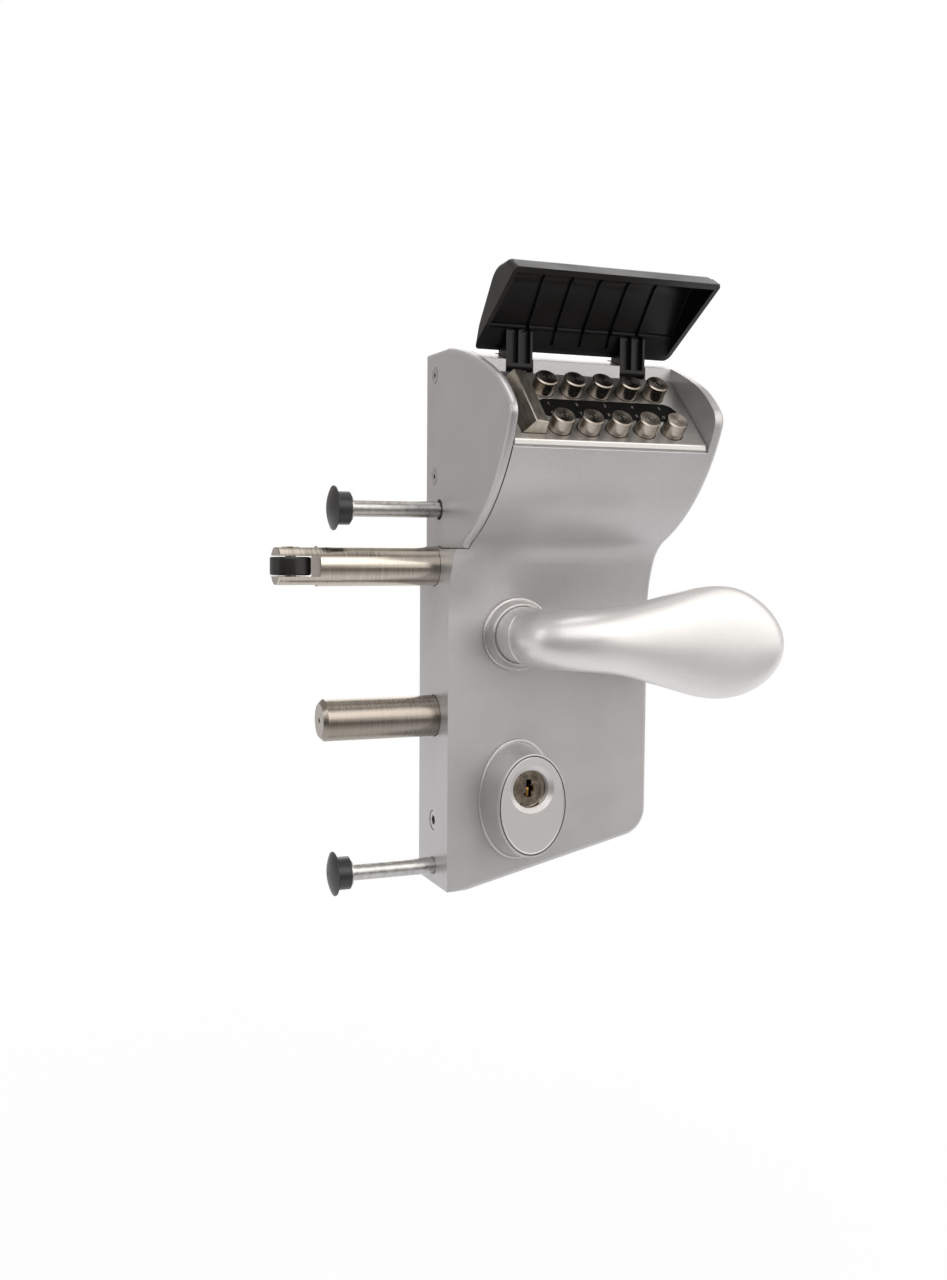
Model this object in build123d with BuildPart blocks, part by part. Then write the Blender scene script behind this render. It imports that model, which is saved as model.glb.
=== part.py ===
from build123d import *
import os
from math import atan2, cos, degrees, radians, sin

# A mechanical code lock for a metal gate, at its real size in millimetres.
# X = 0 is the face that meets the gate's frame, X grows into the lock.
# Y = 0 is the middle of the lock's depth, and -Y is the side with the keypad.
# Z = 0 is the axis of the lever handle's spindle.

os.makedirs("parts", exist_ok=True)

# Fits
gap = 0.3             # between parts that move past each other
slip = 0.05           # radial running fit of pins and stems
seat_gap = 0.02       # radial fit of screws and pins in their holes
seam = 0.25           # half of a visible seam between two castings
seam_groove = 0.35    # bevel on both edges of such a seam
nudge = 1.0           # by which a choice of edges reaches past a plane

socket_share = 0.6    # of a screw's shank, for the socket in its head

# Housing
body_width = 107.5
body_depth = 40.0
wall = 4.0
back_sheet = 4.0
foot_z = -123.0
foot_flat = 12.3
foot_angle = 13.35
foot_corner = 14.0
rim_round = 3.0
waist_z = 40.7
front_y = -body_depth / 2
rear_y = body_depth / 2
plate_y = rear_y - back_sheet
right_wall = 5.5      # the side guard right of the keypad

# Outline of the flare under the head, as (distance in front of the body's face, height)
flare_start = (0.0, 10.0)
flare_knee = (5.4, 34.0)
flare_elbow = (16.0, 44.5)

# Outline of the guards beside the keypad, as (distance in front of the back row, height above it)
guard_low = (24.2, -26.9)
guard_tip = (29.3, -16.3)
guard_top = (28.1, -8.5)
guard_brow = (10.9, 5.4)
guard_crown = (-46.1, 23.9)
guard_crest = 24.4    # height of the flat crown above the back row
guard_lean = 29.95    # of the guard's front edge from upright, at its low end

# Side cap, the guard left of the keypad
cap_face_x = 2.5
cap_seam_x = 6.0
cap_round = 2.8
cap_screw_radius = 2.0
cap_screw_head = 3.8
cap_screw_length = 8.0
cap_screw_inset = 13.0
cap_screw_low = 35.0
cap_screw_high = 12.0

# Keypad: a sheet that slopes at 45 degrees, buttons stand square to it
deck_slope = 45.0
deck_reach = 36.1     # from the body's face forward to the back row
deck_height = 111.9   # height of the sheet at the back row
deck_sheet = 1.2
deck_bend = 1.1
deck_flange = 2.46    # height of the edge that is folded down in front
deck_foot = 0.4       # rounding along the flange's lower edge
deck_corner = 1.0
deck_lip_gap = 0.5
deck_lip_round = 0.6
deck_front = -34.0
deck_rear = 12.0
deck_wall = 9.3       # from the back row to the wall behind it
column_count = 5
last_column_margin = 15.2
row_gap = 25.8
ledge = 2.6
guide_margin = 1.5
shaft_clear = 1.0
ceiling = 9.2          # solid left under the sheet's ledges

button_radius = 5.15
button_height = 7.5
button_chamfer = 0.5
button_dish = 0.25
button_skirt = 1.5    # of the head, below the sheet
button_travel = 2.5
stem_radius = 2.5
stem_collar = 3.6
stem_collar_height = 1.0
stem_entry = 2.0      # of the stem's end into the code chamber

strip_before = 6.1    # from the first column to the strip's left end
strip_after = 8.3
strip_middle = -12.3
strip_width = 12.4
strip_sheet = 0.8
strip_recess = 0.6

bar_left = 11.5
bar_width = 11.0
bar_gap = 2.85        # from the wedge bar to the first column of buttons
bar_ridge = 4.5
bar_ridge_height = 7.3
bar_edge = 10.5
bar_edge_height = 6.5
bar_front = -30.0
bar_rear = 5.0
bar_travel = 2.0
bar_skirt = 1.5
bar_chamfer = 0.3
bar_stems = (-4.0, -21.0)

guide_depth = 14.5
guide_floor = 2.0
spring_inner = 2.9
spring_outer = 4.0
chamber_depth = 14.0
chamber_margin = 2.0
chamber_cheek = 5.0
deck_screw_radius = 1.5
deck_screw_head = 2.8
deck_screw_head_height = 1.8
deck_boss_radius = 3.0
deck_boss_height = 6.0

# Rain cover, drawn as it stands open
cover_left = 4.2
cover_margin = 3.1    # from its right edge to the body's right face
cover_sheet = 2.2
cover_round = 2.6
hinge_back = 15.1     # from the back row of buttons back to the hinge
hinge_rise = 14.1     # from the sheet at the back row up to the hinge

# Section of the cover, as (distance behind the hinge, height above it)
cover_foot = (2.4, 5.1)
cover_heel = (-2.6, 15.8)
cover_brow = (-20.8, 37.2)
cover_lip = (-35.3, 37.9)
cover_tip = (-44.8, 32.6)
cover_heel_round = 20.0
cover_brow_round = 13.0
cover_lip_round = 6.0
cover_edge = 3.7      # width of the thick edge in front
groove_count = 5
groove_width = 2.0
groove_depth = 1.4
first_groove = 27.0
last_groove = 24.5    # from the last groove to the body's right face
cover_rib = 1.2
bracket_width = 13.0
first_bracket = 23.5
last_bracket = 26.3   # from the last bracket's middle to the body's right face
bracket_low = 5.0
bracket_front = 5.5
bracket_back = 3.3
bracket_rise = 13.0
bracket_round = 2.4
bracket_lap = 1.0     # of the bracket's back over the cover's outside
bracket_skin = 1.1
bracket_pocket = 3.0
hinge_pin_radius = 1.5
hinge_pin_grip = 4.0
hinge_pocket = 8.2

# Lever handles
spindle_x = 35.0
spindle_square = 8.0
spindle_reach = 26.0  # of the spindle out of the body at each side
rose_radius = 17.8
rose_height = 2.4
rose_round = 1.0
rose_foot_radius = 16.4
rose_top_radius = 14.9
rose_reach = 7.0
neck_radius = 13.6
neck_length = 20.0
lever_reach = 50.0    # from the body's face to the middle of the lever
lever_length = 115.5
lever_droop = 4.5
lever_bend = 20.0
lever_turn = (13.9, 12.8)
lever_turn_angle = 45.0
paddle_sections = [
    # distance from the spindle, half height, half thickness, drop below the spindle
    (lever_bend, 14.7, 11.9, 0.2),
    (37.0, 17.3, 11.4, 0.7),
    (57.0, 22.6, 11.2, 1.2),
    (77.0, 26.6, 11.1, 1.8),
    (93.0, 24.8, 10.3, 2.6),
    (105.0, 18.9, 8.6, 3.5),
    (112.0, 12.2, 6.2, 4.1),
]
grub_radius = 2.5
grub_length = 6.0
grub_reach = 12.0
bush_radius = 9.0
bush_end = 0.4

follower_radius = 12.0
follower_half = 6.0
follower_arm = 21.5
follower_arm_width = 6.0
follower_arm_lean = -20.0

# Latch bolt
latch_z = 32.3
latch_radius = 9.5
latch_nose_x = -78.3
latch_slot_x = -58.7
latch_slot_height = 9.5
latch_inner_x = 9.0
latch_travel = 17.0
roller_x = -70.9
roller_radius = 9.5
roller_thick = 8.5
roller_pin_radius = 2.5
roller_pin_head = 4.0
roller_pin_dome = 1.2
roller_pin_edge = 0.36
tail_rod_radius = 4.0
tail_end_gap = 1.5    # left before the housing's stub when the latch is drawn in
lug_offset = -1.6     # from the spindle's axis to the lug's left side
lug_width = 6.0
lug_low_z = 14.5
tail_half = 5.0
tail_shoulder = 7.0
tail_shoulder_x = 60.0
tail_shoulder_width = 2.0
spring_clear = 0.5
latch_spring_inner = 4.6
latch_spring_outer = 6.4
spring_stub = 4.3
spring_stub_length = 5.0
latch_socket = 8.0
latch_flat = 8.7
latch_edge = 0.8

# Deadbolt
bolt_z = -40.4
bolt_radius = 10.0
bolt_face_x = -57.3
bolt_travel = 23.0
bolt_edge = 2.0
bolt_screw_radius = 3.0
bolt_screw_length = 12.0
bolt_screw_socket = 1.7
bolt_screw_socket_depth = 1.6
bolt_tail_end_x = 72.0
bolt_tail_half = 4.0
bolt_tail_height = 14.0
bolt_tail_stub = 5.0
bolt_tail_socket = 7.0
bolt_gate = ((-6.5, -1.5), (5.0, 11.0))   # fingers beside the cam, from the spindle's axis
bolt_gate_gap = 0.8

# Profile cylinder and its collars
cylinder_z = -72.0
cylinder_radius = 8.5
cylinder_web = 10.0
cylinder_web_low = 24.5   # from the plug's axis down
cylinder_recess = 4.0     # of the cylinder's ends behind the collars' faces
plug_radius = 6.5
plug_fit = 0.05
cylinder_split = 5.3
cylinder_bridge = 16.0    # from the plug's axis down to the bridge
cam_radius = 15.0
cam_half = 5.0
cam_ring = 8.2
cam_width = 8.0
keyway_width = 2.6
keyway_height = 8.4
keyway_depth = 20.0
keyway_wards = ((1.1, 0.0, 2.8), (-1.1, -2.8, 1.4))   # steps in its sides: across, up, height
collar_shift = (0.5, -7.75)   # of the collar's centre from the plug's axis
collar_base = (20.0, 29.5)
collar_waist = (18.9, 27.6)
collar_face = (17.9, 24.6)
collar_height = 20.0
collar_bead = 2.4
collar_round = 1.1
insert_margin = 1.1
insert_sheet = 3.0
insert_dish = 11.4
insert_dish_angle = 110.0
collar_hole = 9.1
cylinder_screw_drop = 20.0
cylinder_screw_radius = 2.5
cylinder_screw_head = 4.5
cylinder_screw_head_height = 3.0
cylinder_screw_length = 37.0

# Fixing bolts through the gate's frame, and their caps
frame_width = 50.0    # the space that the bolts and the latch cross
fixing_top_z = 59.5
fixing_rise = 8.6     # of the lower bolt above the foot
fixing_radius = 4.0
fixing_thread_radius = 3.6
fixing_thread = 18.0
fixing_head_radius = 6.5
fixing_head = 8.0
fixing_hex = 3.0
bolt_cap_radius = 10.5
bolt_cap_dome = 3.0
bolt_cap_edge = 0.45
bolt_cap_sleeve = 7.0
bolt_cap_wall = 1.3
fixing_boss_low = 6.0
fixing_boss_top = 8.0
fixing_entry = 1.0

# Screws that hold the back plate
back_screw_radius = 2.0
back_screw_head = 3.8
back_screw_length = 18.0
boss_radius = 4.5
boss_inset = 1.0
low_screw = (28.0, 14.0)     # from the mounting face and the foot
corner_screw = (13.5, 33.0)  # from the body's right face and the foot
middle_screw_z = 5.0
side_screw_rise = 18.5       # above the upper fixing bolt

# Planes that several parts share
first_column = bar_left + bar_width + bar_gap + button_radius
crown_z = deck_height + guard_crest
beyond = 2 * (crown_z - foot_z)
deck_y = front_y - deck_reach
slope_cos = cos(radians(deck_slope))
slope_sin = sin(radians(deck_slope))
deck = Plane(origin=(0, deck_y, deck_height), x_dir=(1, 0, 0), z_dir=(0, -slope_sin, slope_cos))
deck_left = cap_seam_x + gap
deck_right = body_width - right_wall - gap
button_hole = button_radius + gap
column_pitch = (deck_right - last_column_margin - first_column) / (column_count - 1)
columns = [first_column + i * column_pitch for i in range(column_count)]
button_spots = [(x, -row * row_gap) for row in range(2) for x in columns]
screw_columns = [(columns[0] + columns[1]) / 2, (columns[-2] + columns[-1]) / 2]
deck_screw_spots = [(x, -row_gap / 2) for x in screw_columns]


def flare_point(pair):
    """A point of the flare's outline in the YZ plane."""
    return (front_y - pair[0], pair[1])


def guard_point(pair):
    """A point of the guards' outline in the YZ plane."""
    return (deck_y - pair[0], deck_height + pair[1])


def head_outline(low_z, back_y):
    """Side outline of the lock, drawn in the YZ plane as one closed wire."""
    lean = radians(guard_lean)
    with BuildLine() as outline:
        face_line = Line((front_y, low_z), flare_point(flare_start))
        knee = TangentArc(face_line @ 1, flare_point(flare_knee), tangent=face_line % 1)
        elbow = TangentArc(knee @ 1, flare_point(flare_elbow), tangent=knee % 1)
        flare = TangentArc(elbow @ 1, guard_point(guard_low), tangent=elbow % 1)
        edge = TangentArc(flare @ 1, guard_point(guard_tip), tangent=(-sin(lean), cos(lean)))
        tip = TangentArc(edge @ 1, guard_point(guard_top), tangent=edge % 1)
        brow = TangentArc(tip @ 1, guard_point(guard_brow), tangent=tip % 1)
        crown = TangentArc(brow @ 1, guard_point(guard_crown), tangent=brow % 1)
        Line(crown @ 1, (back_y, crown_z))
        Line((back_y, crown_z), (back_y, low_z))
        Line((back_y, low_z), (front_y, low_z))
    return outline.line


def front_outline(high_z):
    """Front outline of the lock, drawn in the XZ plane, with the slanted foot."""
    slope_end_z = foot_z + (body_width - foot_flat) * sin(radians(foot_angle)) / cos(radians(foot_angle))
    with BuildLine() as outline:
        Polyline(
            (0, foot_z), (foot_flat, foot_z), (body_width, slope_end_z),
            (body_width, high_z), (0, high_z), close=True,
        )
    return outline.line


def deck_point(v, n):
    """YZ place of a point v up the sheet's slope and n square to it."""
    return (deck_y + (v * slope_cos - n * slope_sin), deck_height + (v * slope_sin + n * slope_cos))


def stem_plane(x, v):
    """Plane through a button's axis: its x is the radius, its y stands square to the sheet."""
    y, z = deck_point(v, 0)
    return Plane(origin=(x, y, z), x_dir=(1, 0, 0), z_dir=(0, -slope_cos, -slope_sin))


def cover_point(pair):
    """A point of the cover's section in the YZ plane."""
    return (hinge_y + pair[0], hinge_z + pair[1])


def cover_section():
    """Outside of the cover's section, with rounded bends, as one closed wire."""
    corners = [cover_point(pair) for pair in (cover_foot, cover_heel, cover_brow, cover_lip, cover_tip)]
    with BuildLine() as outline:
        FilletPolyline(*corners, radius=(cover_heel_round, cover_brow_round, cover_lip_round))
        Line(corners[-1], corners[0])
    return outline.line


def flat_head_screw(shank, head, length):
    """Countersunk screw with a hexagon socket, its head flush with Z = 0 and facing +Z."""
    with BuildPart() as screw:
        with BuildSketch(Plane.XZ):
            with BuildLine():
                Polyline((0, 0), (head, 0), (shank, shank - head), (shank, -length), (0, -length), close=True)
            make_face()
        revolve(axis=Axis.Z)
        with BuildSketch():
            RegularPolygon(shank * socket_share, 6)
        extrude(amount=shank - head, mode=Mode.SUBTRACT)
    return screw.part


def tube(inner, outer, length):
    """Plain ring from Z = 0 up, the shape of a hidden coil spring."""
    with BuildPart() as ring:
        with BuildSketch():
            Circle(outer)
            Circle(inner, mode=Mode.SUBTRACT)
        extrude(amount=length)
    return ring.part


def ellipse_plane(y):
    """Plane square to the collar's axis, facing the front."""
    return Plane(origin=(collar_centre_x, y, collar_centre_z), x_dir=(1, 0, 0), z_dir=(0, -1, 0))


def axis_plane(x, y, z, facing=-1):
    """Plane square to Y, with its normal towards the front or the back."""
    return Plane(origin=(x, y, z), x_dir=(1, 0, 0), z_dir=(0, facing, 0))


def draw_euro_profile(extra):
    """Section of a profile cylinder, a round body with a web below it."""
    Circle(cylinder_radius + extra)
    with Locations((0, -cylinder_web_low / 2)):
        Rectangle(cylinder_web + 2 * extra, cylinder_web_low + 2 * extra)


# Places worked out from the sizes above
head_left = cap_seam_x + wall
head_right = body_width - right_wall
cavity_right = body_width - wall
guide_left = deck_left + ledge
guide_right = deck_right - ledge
guide_front = -row_gap - button_hole - guide_margin
guide_rear = deck_rear - ledge
guide_low = -(deck_sheet + guide_depth)
head_low = -(deck_sheet + button_skirt)
spring_low = guide_low + guide_floor
spring_high = head_low - button_travel - gap
collar_low = guide_low - gap - stem_collar_height
chamber_high = collar_low - button_travel - gap
stem_low = chamber_high - stem_entry
chamber_low = chamber_high - chamber_depth
bar_right = bar_left + bar_width
bar_low = -(deck_sheet + bar_skirt)
bar_spring_high = bar_low - bar_travel - gap
strip_left = columns[0] - strip_before
strip_right = columns[-1] + strip_after
hinge_y = deck_y + hinge_back
hinge_z = deck_height + hinge_rise
roof_low = hinge_z - hinge_pocket - wall
bracket_gap = bracket_width / 2 + gap
bracket_centres = (first_bracket, body_width - last_bracket)
cover_right = body_width - cover_margin
wall_y = deck_y + deck_wall
flange_y, deck_edge_z = deck_point(deck_front, 0)
flange_low_z = deck_edge_z - deck_flange
lip_z = flange_low_z - deck_lip_gap
inner_front = front_y + wall
spring_stub_x = cavity_right - spring_stub_length
back_screw_spots = [
    (low_screw[0], foot_z + low_screw[1]),
    (body_width - corner_screw[0], foot_z + corner_screw[1]),
    (cavity_right - boss_radius - boss_inset, middle_screw_z),
    (head_right - boss_radius, crown_z - wall - boss_radius - boss_inset),
    (head_left + boss_radius, crown_z - wall - boss_radius - boss_inset),
    (head_left + boss_radius - boss_inset, fixing_top_z + side_screw_rise),
]
cap_screw_spots = [
    (rear_y - cap_screw_inset, waist_z + cap_screw_low),
    (rear_y - cap_screw_inset, crown_z - cap_screw_high),
]
fixing_low_z = foot_z + fixing_rise
fixing_heights = [fixing_low_z, fixing_top_z]
spindle_length = body_depth + 2 * spindle_reach
tail_end_x = cavity_right - spring_stub_length - latch_travel - tail_end_gap
bolt_inner_x = wall + bolt_travel
bolt_gate_z = cylinder_z + cam_radius + bolt_gate_gap
cylinder_half = body_depth / 2 + collar_height - cylinder_recess
cylinder_screw_z = cylinder_z - cylinder_screw_drop
collar_centre_x = spindle_x + collar_shift[0]
collar_centre_z = cylinder_z + collar_shift[1]

# Housing, a casting that is open at the back
with BuildPart() as housing:
    with BuildSketch(Plane.YZ):
        add(head_outline(foot_z, plate_y))
        make_face()
    extrude(amount=body_width)
    with BuildSketch(Plane.XZ.offset(-rear_y)):
        add(front_outline(crown_z))
        make_face()
    extrude(amount=beyond, mode=Mode.INTERSECT)
    foot_edges = housing.edges().filter_by(Axis.Y).filter_by_position(Axis.Z, foot_z - nudge, waist_z)
    fillet(foot_edges.sort_by(Axis.X)[-1], radius=foot_corner)
    right_face = housing.faces().sort_by(Axis.X)[-1]
    right_low = right_face.bounding_box().min.Z
    rim = right_face.edges().filter_by(
        lambda e: e.center().Y < plate_y - nudge and e.center().Z > right_low + nudge
    )
    fillet(rim, radius=rim_round)
    # Above the waist the left side steps back to carry the side cap
    with BuildSketch(Plane.YZ):
        with Locations((plate_y, waist_z)):
            Rectangle(beyond, beyond, align=(Align.MAX, Align.MIN))
    extrude(amount=cap_seam_x, mode=Mode.SUBTRACT)
    # Keypad recess between the two guards, with a lip below the sheet's front flange
    slot_y = flange_y + deck_sheet + slip
    slot_v = (slot_y - deck_y - deck_sheet * slope_sin) / slope_cos
    wall_v = (wall_y - deck_y - deck_sheet * slope_sin) / slope_cos
    with BuildSketch(Plane.YZ.offset(cap_seam_x)):
        with BuildLine():
            Polyline(
                (wall_y - beyond, lip_z),
                (slot_y, lip_z),
                deck_point(slot_v, -deck_sheet),
                deck_point(wall_v, -deck_sheet),
                (wall_y, lip_z + beyond),
                (wall_y - beyond, lip_z + beyond),
                close=True,
            )
        make_face()
    extrude(amount=head_right - cap_seam_x, mode=Mode.SUBTRACT)
    lip_edges = housing.edges().filter_by(Axis.X).filter_by_position(Axis.Z, lip_z - slip, lip_z + slip)
    fillet(lip_edges.sort_by(Axis.Y)[0], radius=deck_lip_round)
    # Bevel along the seam with the side cap, down the flare
    flare_edges = housing.edges().filter_by(GeomType.CIRCLE).filter_by_position(
        Axis.X, cap_seam_x - slip, cap_seam_x + slip
    )
    chamfer(flare_edges.filter_by_position(Axis.Z, waist_z, lip_z - deck_lip_round), length=seam_groove)
    # Shaft for the button guide and the code chamber
    with BuildSketch(deck.offset(-deck_sheet)):
        with Locations((guide_left, guide_front)):
            Rectangle(guide_right - guide_left, guide_rear - guide_front, align=(Align.MIN, Align.MIN))
    extrude(amount=chamber_low + deck_sheet - shaft_clear, mode=Mode.SUBTRACT)
    # Cavity of the body
    with BuildSketch(Plane.XZ.offset(-plate_y)):
        add(front_outline(waist_z + wall))
        make_face()
        offset(amount=-wall)
    extrude(amount=plate_y - inner_front, mode=Mode.SUBTRACT)
    # Cavity of the head, below the keypad's ledges and the hinge
    with BuildSketch(Plane.YZ.offset(head_left)):
        add(head_outline(0, plate_y + wall))
        make_face()
        offset(amount=-wall)
        with Locations(deck_point(0, -ceiling)):
            Rectangle(
                beyond, beyond, rotation=deck_slope, align=(Align.CENTER, Align.MIN), mode=Mode.SUBTRACT,
            )
        with Locations((0, roof_low)):
            Rectangle(beyond, beyond, align=(Align.CENTER, Align.MIN), mode=Mode.SUBTRACT)
    extrude(amount=head_right - head_left, mode=Mode.SUBTRACT)
    # Bosses: fixing bolts, back screws, and the stub inside the latch spring
    with BuildSketch(Plane.YZ.offset(wall / 2)):
        with Locations((0, fixing_low_z)):
            Circle(fixing_boss_low)
    extrude(amount=fixing_thread)
    with BuildSketch(Plane.YZ.offset(cap_seam_x + wall / 2)):
        with Locations((0, fixing_top_z)):
            Circle(fixing_boss_top)
    extrude(amount=fixing_thread - wall)
    with BuildSketch(Plane.YZ.offset(spring_stub_x)):
        with Locations((0, latch_z)):
            Circle(spring_stub)
    extrude(amount=spring_stub_length + wall / 2)
    with BuildSketch(Plane.XZ.offset(-plate_y)):
        with Locations(*back_screw_spots):
            Circle(boss_radius)
    extrude(amount=plate_y - inner_front + wall / 2)
    # Holes for the back screws, the lever's bush and the profile cylinder
    with BuildSketch(Plane.XZ.offset(-plate_y)):
        with Locations(*back_screw_spots):
            Circle(back_screw_radius + seat_gap)
    extrude(amount=back_screw_length, mode=Mode.SUBTRACT)
    with BuildSketch(axis_plane(spindle_x, inner_front, 0)):
        Circle(bush_radius + slip)
    extrude(amount=wall, mode=Mode.SUBTRACT)
    with BuildSketch(axis_plane(spindle_x, inner_front, cylinder_z)):
        draw_euro_profile(slip)
    extrude(amount=wall, mode=Mode.SUBTRACT)
    # Flat seat of the lever's ring, where the flare begins
    with BuildSketch(axis_plane(spindle_x, front_y, 0)):
        Circle(rose_radius + slip)
    extrude(amount=rose_height, mode=Mode.SUBTRACT)
    # Holes in the mounting face
    with BuildSketch(Plane.YZ):
        with Locations((0, latch_z)):
            Circle(latch_radius + gap)
    extrude(amount=head_left, mode=Mode.SUBTRACT)
    with BuildSketch(Plane.YZ):
        with Locations((0, bolt_z)):
            Circle(bolt_radius + gap)
        with Locations((0, cylinder_screw_z)):
            Circle(cylinder_screw_radius + seat_gap)
    extrude(amount=wall, mode=Mode.SUBTRACT)
    with BuildSketch(Plane.YZ):
        with Locations((0, cylinder_screw_z)):
            Circle(cylinder_screw_head + gap)
    extrude(amount=cylinder_screw_head_height + gap, mode=Mode.SUBTRACT)
    with BuildSketch(Plane.YZ):
        with Locations(*[(0, z) for z in fixing_heights]):
            Circle(fixing_thread_radius + seat_gap)
    extrude(amount=fixing_thread, mode=Mode.SUBTRACT)
    with BuildSketch(Plane.YZ):
        with Locations((0, fixing_low_z)):
            Circle(fixing_radius + gap)
    extrude(amount=fixing_entry, mode=Mode.SUBTRACT)
    with BuildSketch(Plane.YZ.offset(cap_seam_x)):
        with Locations(*cap_screw_spots):
            Circle(cap_screw_radius + seat_gap)
    extrude(amount=cap_face_x + cap_screw_length - cap_seam_x, mode=Mode.SUBTRACT)
    # Pockets and pin holes of the cover's hinge
    for centre in bracket_centres:
        with BuildSketch(Plane.YZ.offset(centre - bracket_gap)):
            with Locations((hinge_y, hinge_z)):
                Circle(hinge_pocket)
                Rectangle(2 * hinge_pocket, 2 * hinge_pocket, align=(Align.CENTER, Align.MIN))
        extrude(amount=2 * bracket_gap, mode=Mode.SUBTRACT)
        with BuildSketch(Plane.YZ.offset(centre - bracket_gap - hinge_pin_grip)):
            with Locations((hinge_y, hinge_z)):
                Circle(hinge_pin_radius + seat_gap)
        extrude(amount=2 * (bracket_gap + hinge_pin_grip), mode=Mode.SUBTRACT)
housing.part.label = "housing"
export_step(housing.part, "parts/housing.step")

# Back plate
with BuildPart() as housing_back:
    with BuildSketch(Plane.XZ.offset(-rear_y)):
        add(front_outline(crown_z))
        make_face()
        with Locations((0, waist_z)):
            Rectangle(2 * cap_seam_x, beyond, align=(Align.CENTER, Align.MIN), mode=Mode.SUBTRACT)
    extrude(amount=back_sheet)
    plate_edges = housing_back.edges().filter_by(Axis.Y).filter_by_position(
        Axis.Z, foot_z - nudge, waist_z - nudge
    )
    fillet(plate_edges.sort_by(Axis.X)[-1], radius=foot_corner)
    back_face = housing_back.faces().sort_by(Axis.Y)[-1]
    fillet(back_face.edges().filter_by(lambda e: e.center().X > cap_seam_x + nudge), radius=rim_round)
    with BuildSketch(Plane.XZ.offset(-rear_y)):
        with Locations(*back_screw_spots):
            Circle(back_screw_radius + gap)
        with Locations((spindle_x, 0)):
            Circle(bush_radius + slip)
        with Locations((spindle_x, cylinder_z)):
            draw_euro_profile(slip)
    extrude(amount=back_sheet, mode=Mode.SUBTRACT)
    with Locations(*[axis_plane(x, rear_y, z, 1) for x, z in back_screw_spots]):
        CounterSinkHole(
            back_screw_radius + gap, back_screw_head + gap, depth=back_sheet, counter_sink_angle=90,
        )
housing_back.part.label = "housing_back"
export_step(housing_back.part, "parts/housing_back.step")

with BuildPart() as back_screws:
    with Locations(*[axis_plane(x, rear_y, z, 1) for x, z in back_screw_spots]):
        add(flat_head_screw(back_screw_radius, back_screw_head, back_screw_length))
back_screws.part.label = "back_screws"
export_step(back_screws.part, "parts/back_screws.step")

# Side cap, the left guard
with BuildPart() as side_cap:
    with BuildSketch(Plane.YZ.offset(cap_face_x)):
        add(head_outline(foot_z, rear_y))
        make_face()
        with Locations((0, waist_z + 2 * seam)):
            Rectangle(beyond, beyond, align=(Align.CENTER, Align.MAX), mode=Mode.SUBTRACT)
    extrude(amount=cap_seam_x - cap_face_x)
    cap_face = side_cap.faces().sort_by(Axis.X)[0]
    fillet(cap_face.edges().filter_by(lambda e: e.center().Z > waist_z + nudge), radius=cap_round)
    seam_edges = side_cap.faces().sort_by(Axis.X)[-1].edges().filter_by(GeomType.CIRCLE)
    chamfer(seam_edges, length=seam_groove)
    with BuildSketch(Plane.YZ.offset(cap_face_x)):
        with Locations((0, fixing_top_z)):
            Circle(fixing_radius + fixing_entry)
        with Locations((0, latch_z)):
            Circle(latch_radius + gap)
    extrude(amount=cap_seam_x - cap_face_x, mode=Mode.SUBTRACT)
    with Locations(*[Plane(origin=(cap_face_x, y, z), z_dir=(-1, 0, 0)) for y, z in cap_screw_spots]):
        CounterSinkHole(cap_screw_radius + slip, cap_screw_head + gap, depth=wall, counter_sink_angle=90)
side_cap.part.label = "side_cap"
export_step(side_cap.part, "parts/side_cap.step")

with BuildPart() as side_cap_screws:
    with Locations(*[Plane(origin=(cap_face_x, y, z), z_dir=(-1, 0, 0)) for y, z in cap_screw_spots]):
        add(flat_head_screw(cap_screw_radius, cap_screw_head, cap_screw_length))
side_cap_screws.part.label = "side_cap_screws"
export_step(side_cap_screws.part, "parts/side_cap_screws.step")

# Keypad sheet: its front edge is bent down, its underside carries two screw bosses
bar_hole = (bar_left - gap, bar_right + gap, bar_front - gap, bar_rear + gap)
flange_v = deck_front + deck_sheet * (1 - slope_sin) / slope_cos
with BuildPart() as keypad_deck:
    with BuildSketch(Plane.YZ.offset(deck_left)):
        with BuildLine():
            Polyline(
                deck_point(deck_rear, 0), (flange_y, deck_edge_z), (flange_y, flange_low_z),
                (flange_y + deck_sheet, flange_low_z), deck_point(flange_v, -deck_sheet),
                deck_point(deck_rear, -deck_sheet), close=True,
            )
        make_face()
    extrude(amount=deck_right - deck_left)
    fillet(keypad_deck.edges().filter_by(Axis.Z).group_by(Axis.Y)[0], radius=deck_corner)
    fillet(keypad_deck.edges().filter_by(Axis.X).group_by(Axis.Y)[0].sort_by(Axis.Z)[0], radius=deck_foot)
    fillet(keypad_deck.edges().filter_by(Axis.X).group_by(Axis.Y)[0].sort_by(Axis.Z)[-1], radius=deck_bend)
    with BuildSketch(deck):
        with Locations(*button_spots):
            Circle(button_hole)
        with Locations((bar_hole[0], bar_hole[2])):
            Rectangle(bar_hole[1] - bar_hole[0], bar_hole[3] - bar_hole[2], align=(Align.MIN, Align.MIN))
    extrude(amount=-deck_sheet, mode=Mode.SUBTRACT)
    with BuildSketch(deck):
        with Locations(((strip_left + strip_right) / 2, strip_middle)):
            SlotOverall(strip_right - strip_left + 2 * slip, strip_width + 2 * slip)
    extrude(amount=-strip_recess, mode=Mode.SUBTRACT)
    with BuildSketch(deck.offset(-deck_sheet)):
        with Locations(*deck_screw_spots):
            Circle(deck_boss_radius)
            Circle(deck_screw_radius + seat_gap, mode=Mode.SUBTRACT)
    extrude(amount=-deck_boss_height)
keypad_deck.part.label = "keypad_deck"
export_step(keypad_deck.part, "parts/keypad_deck.step")

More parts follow.
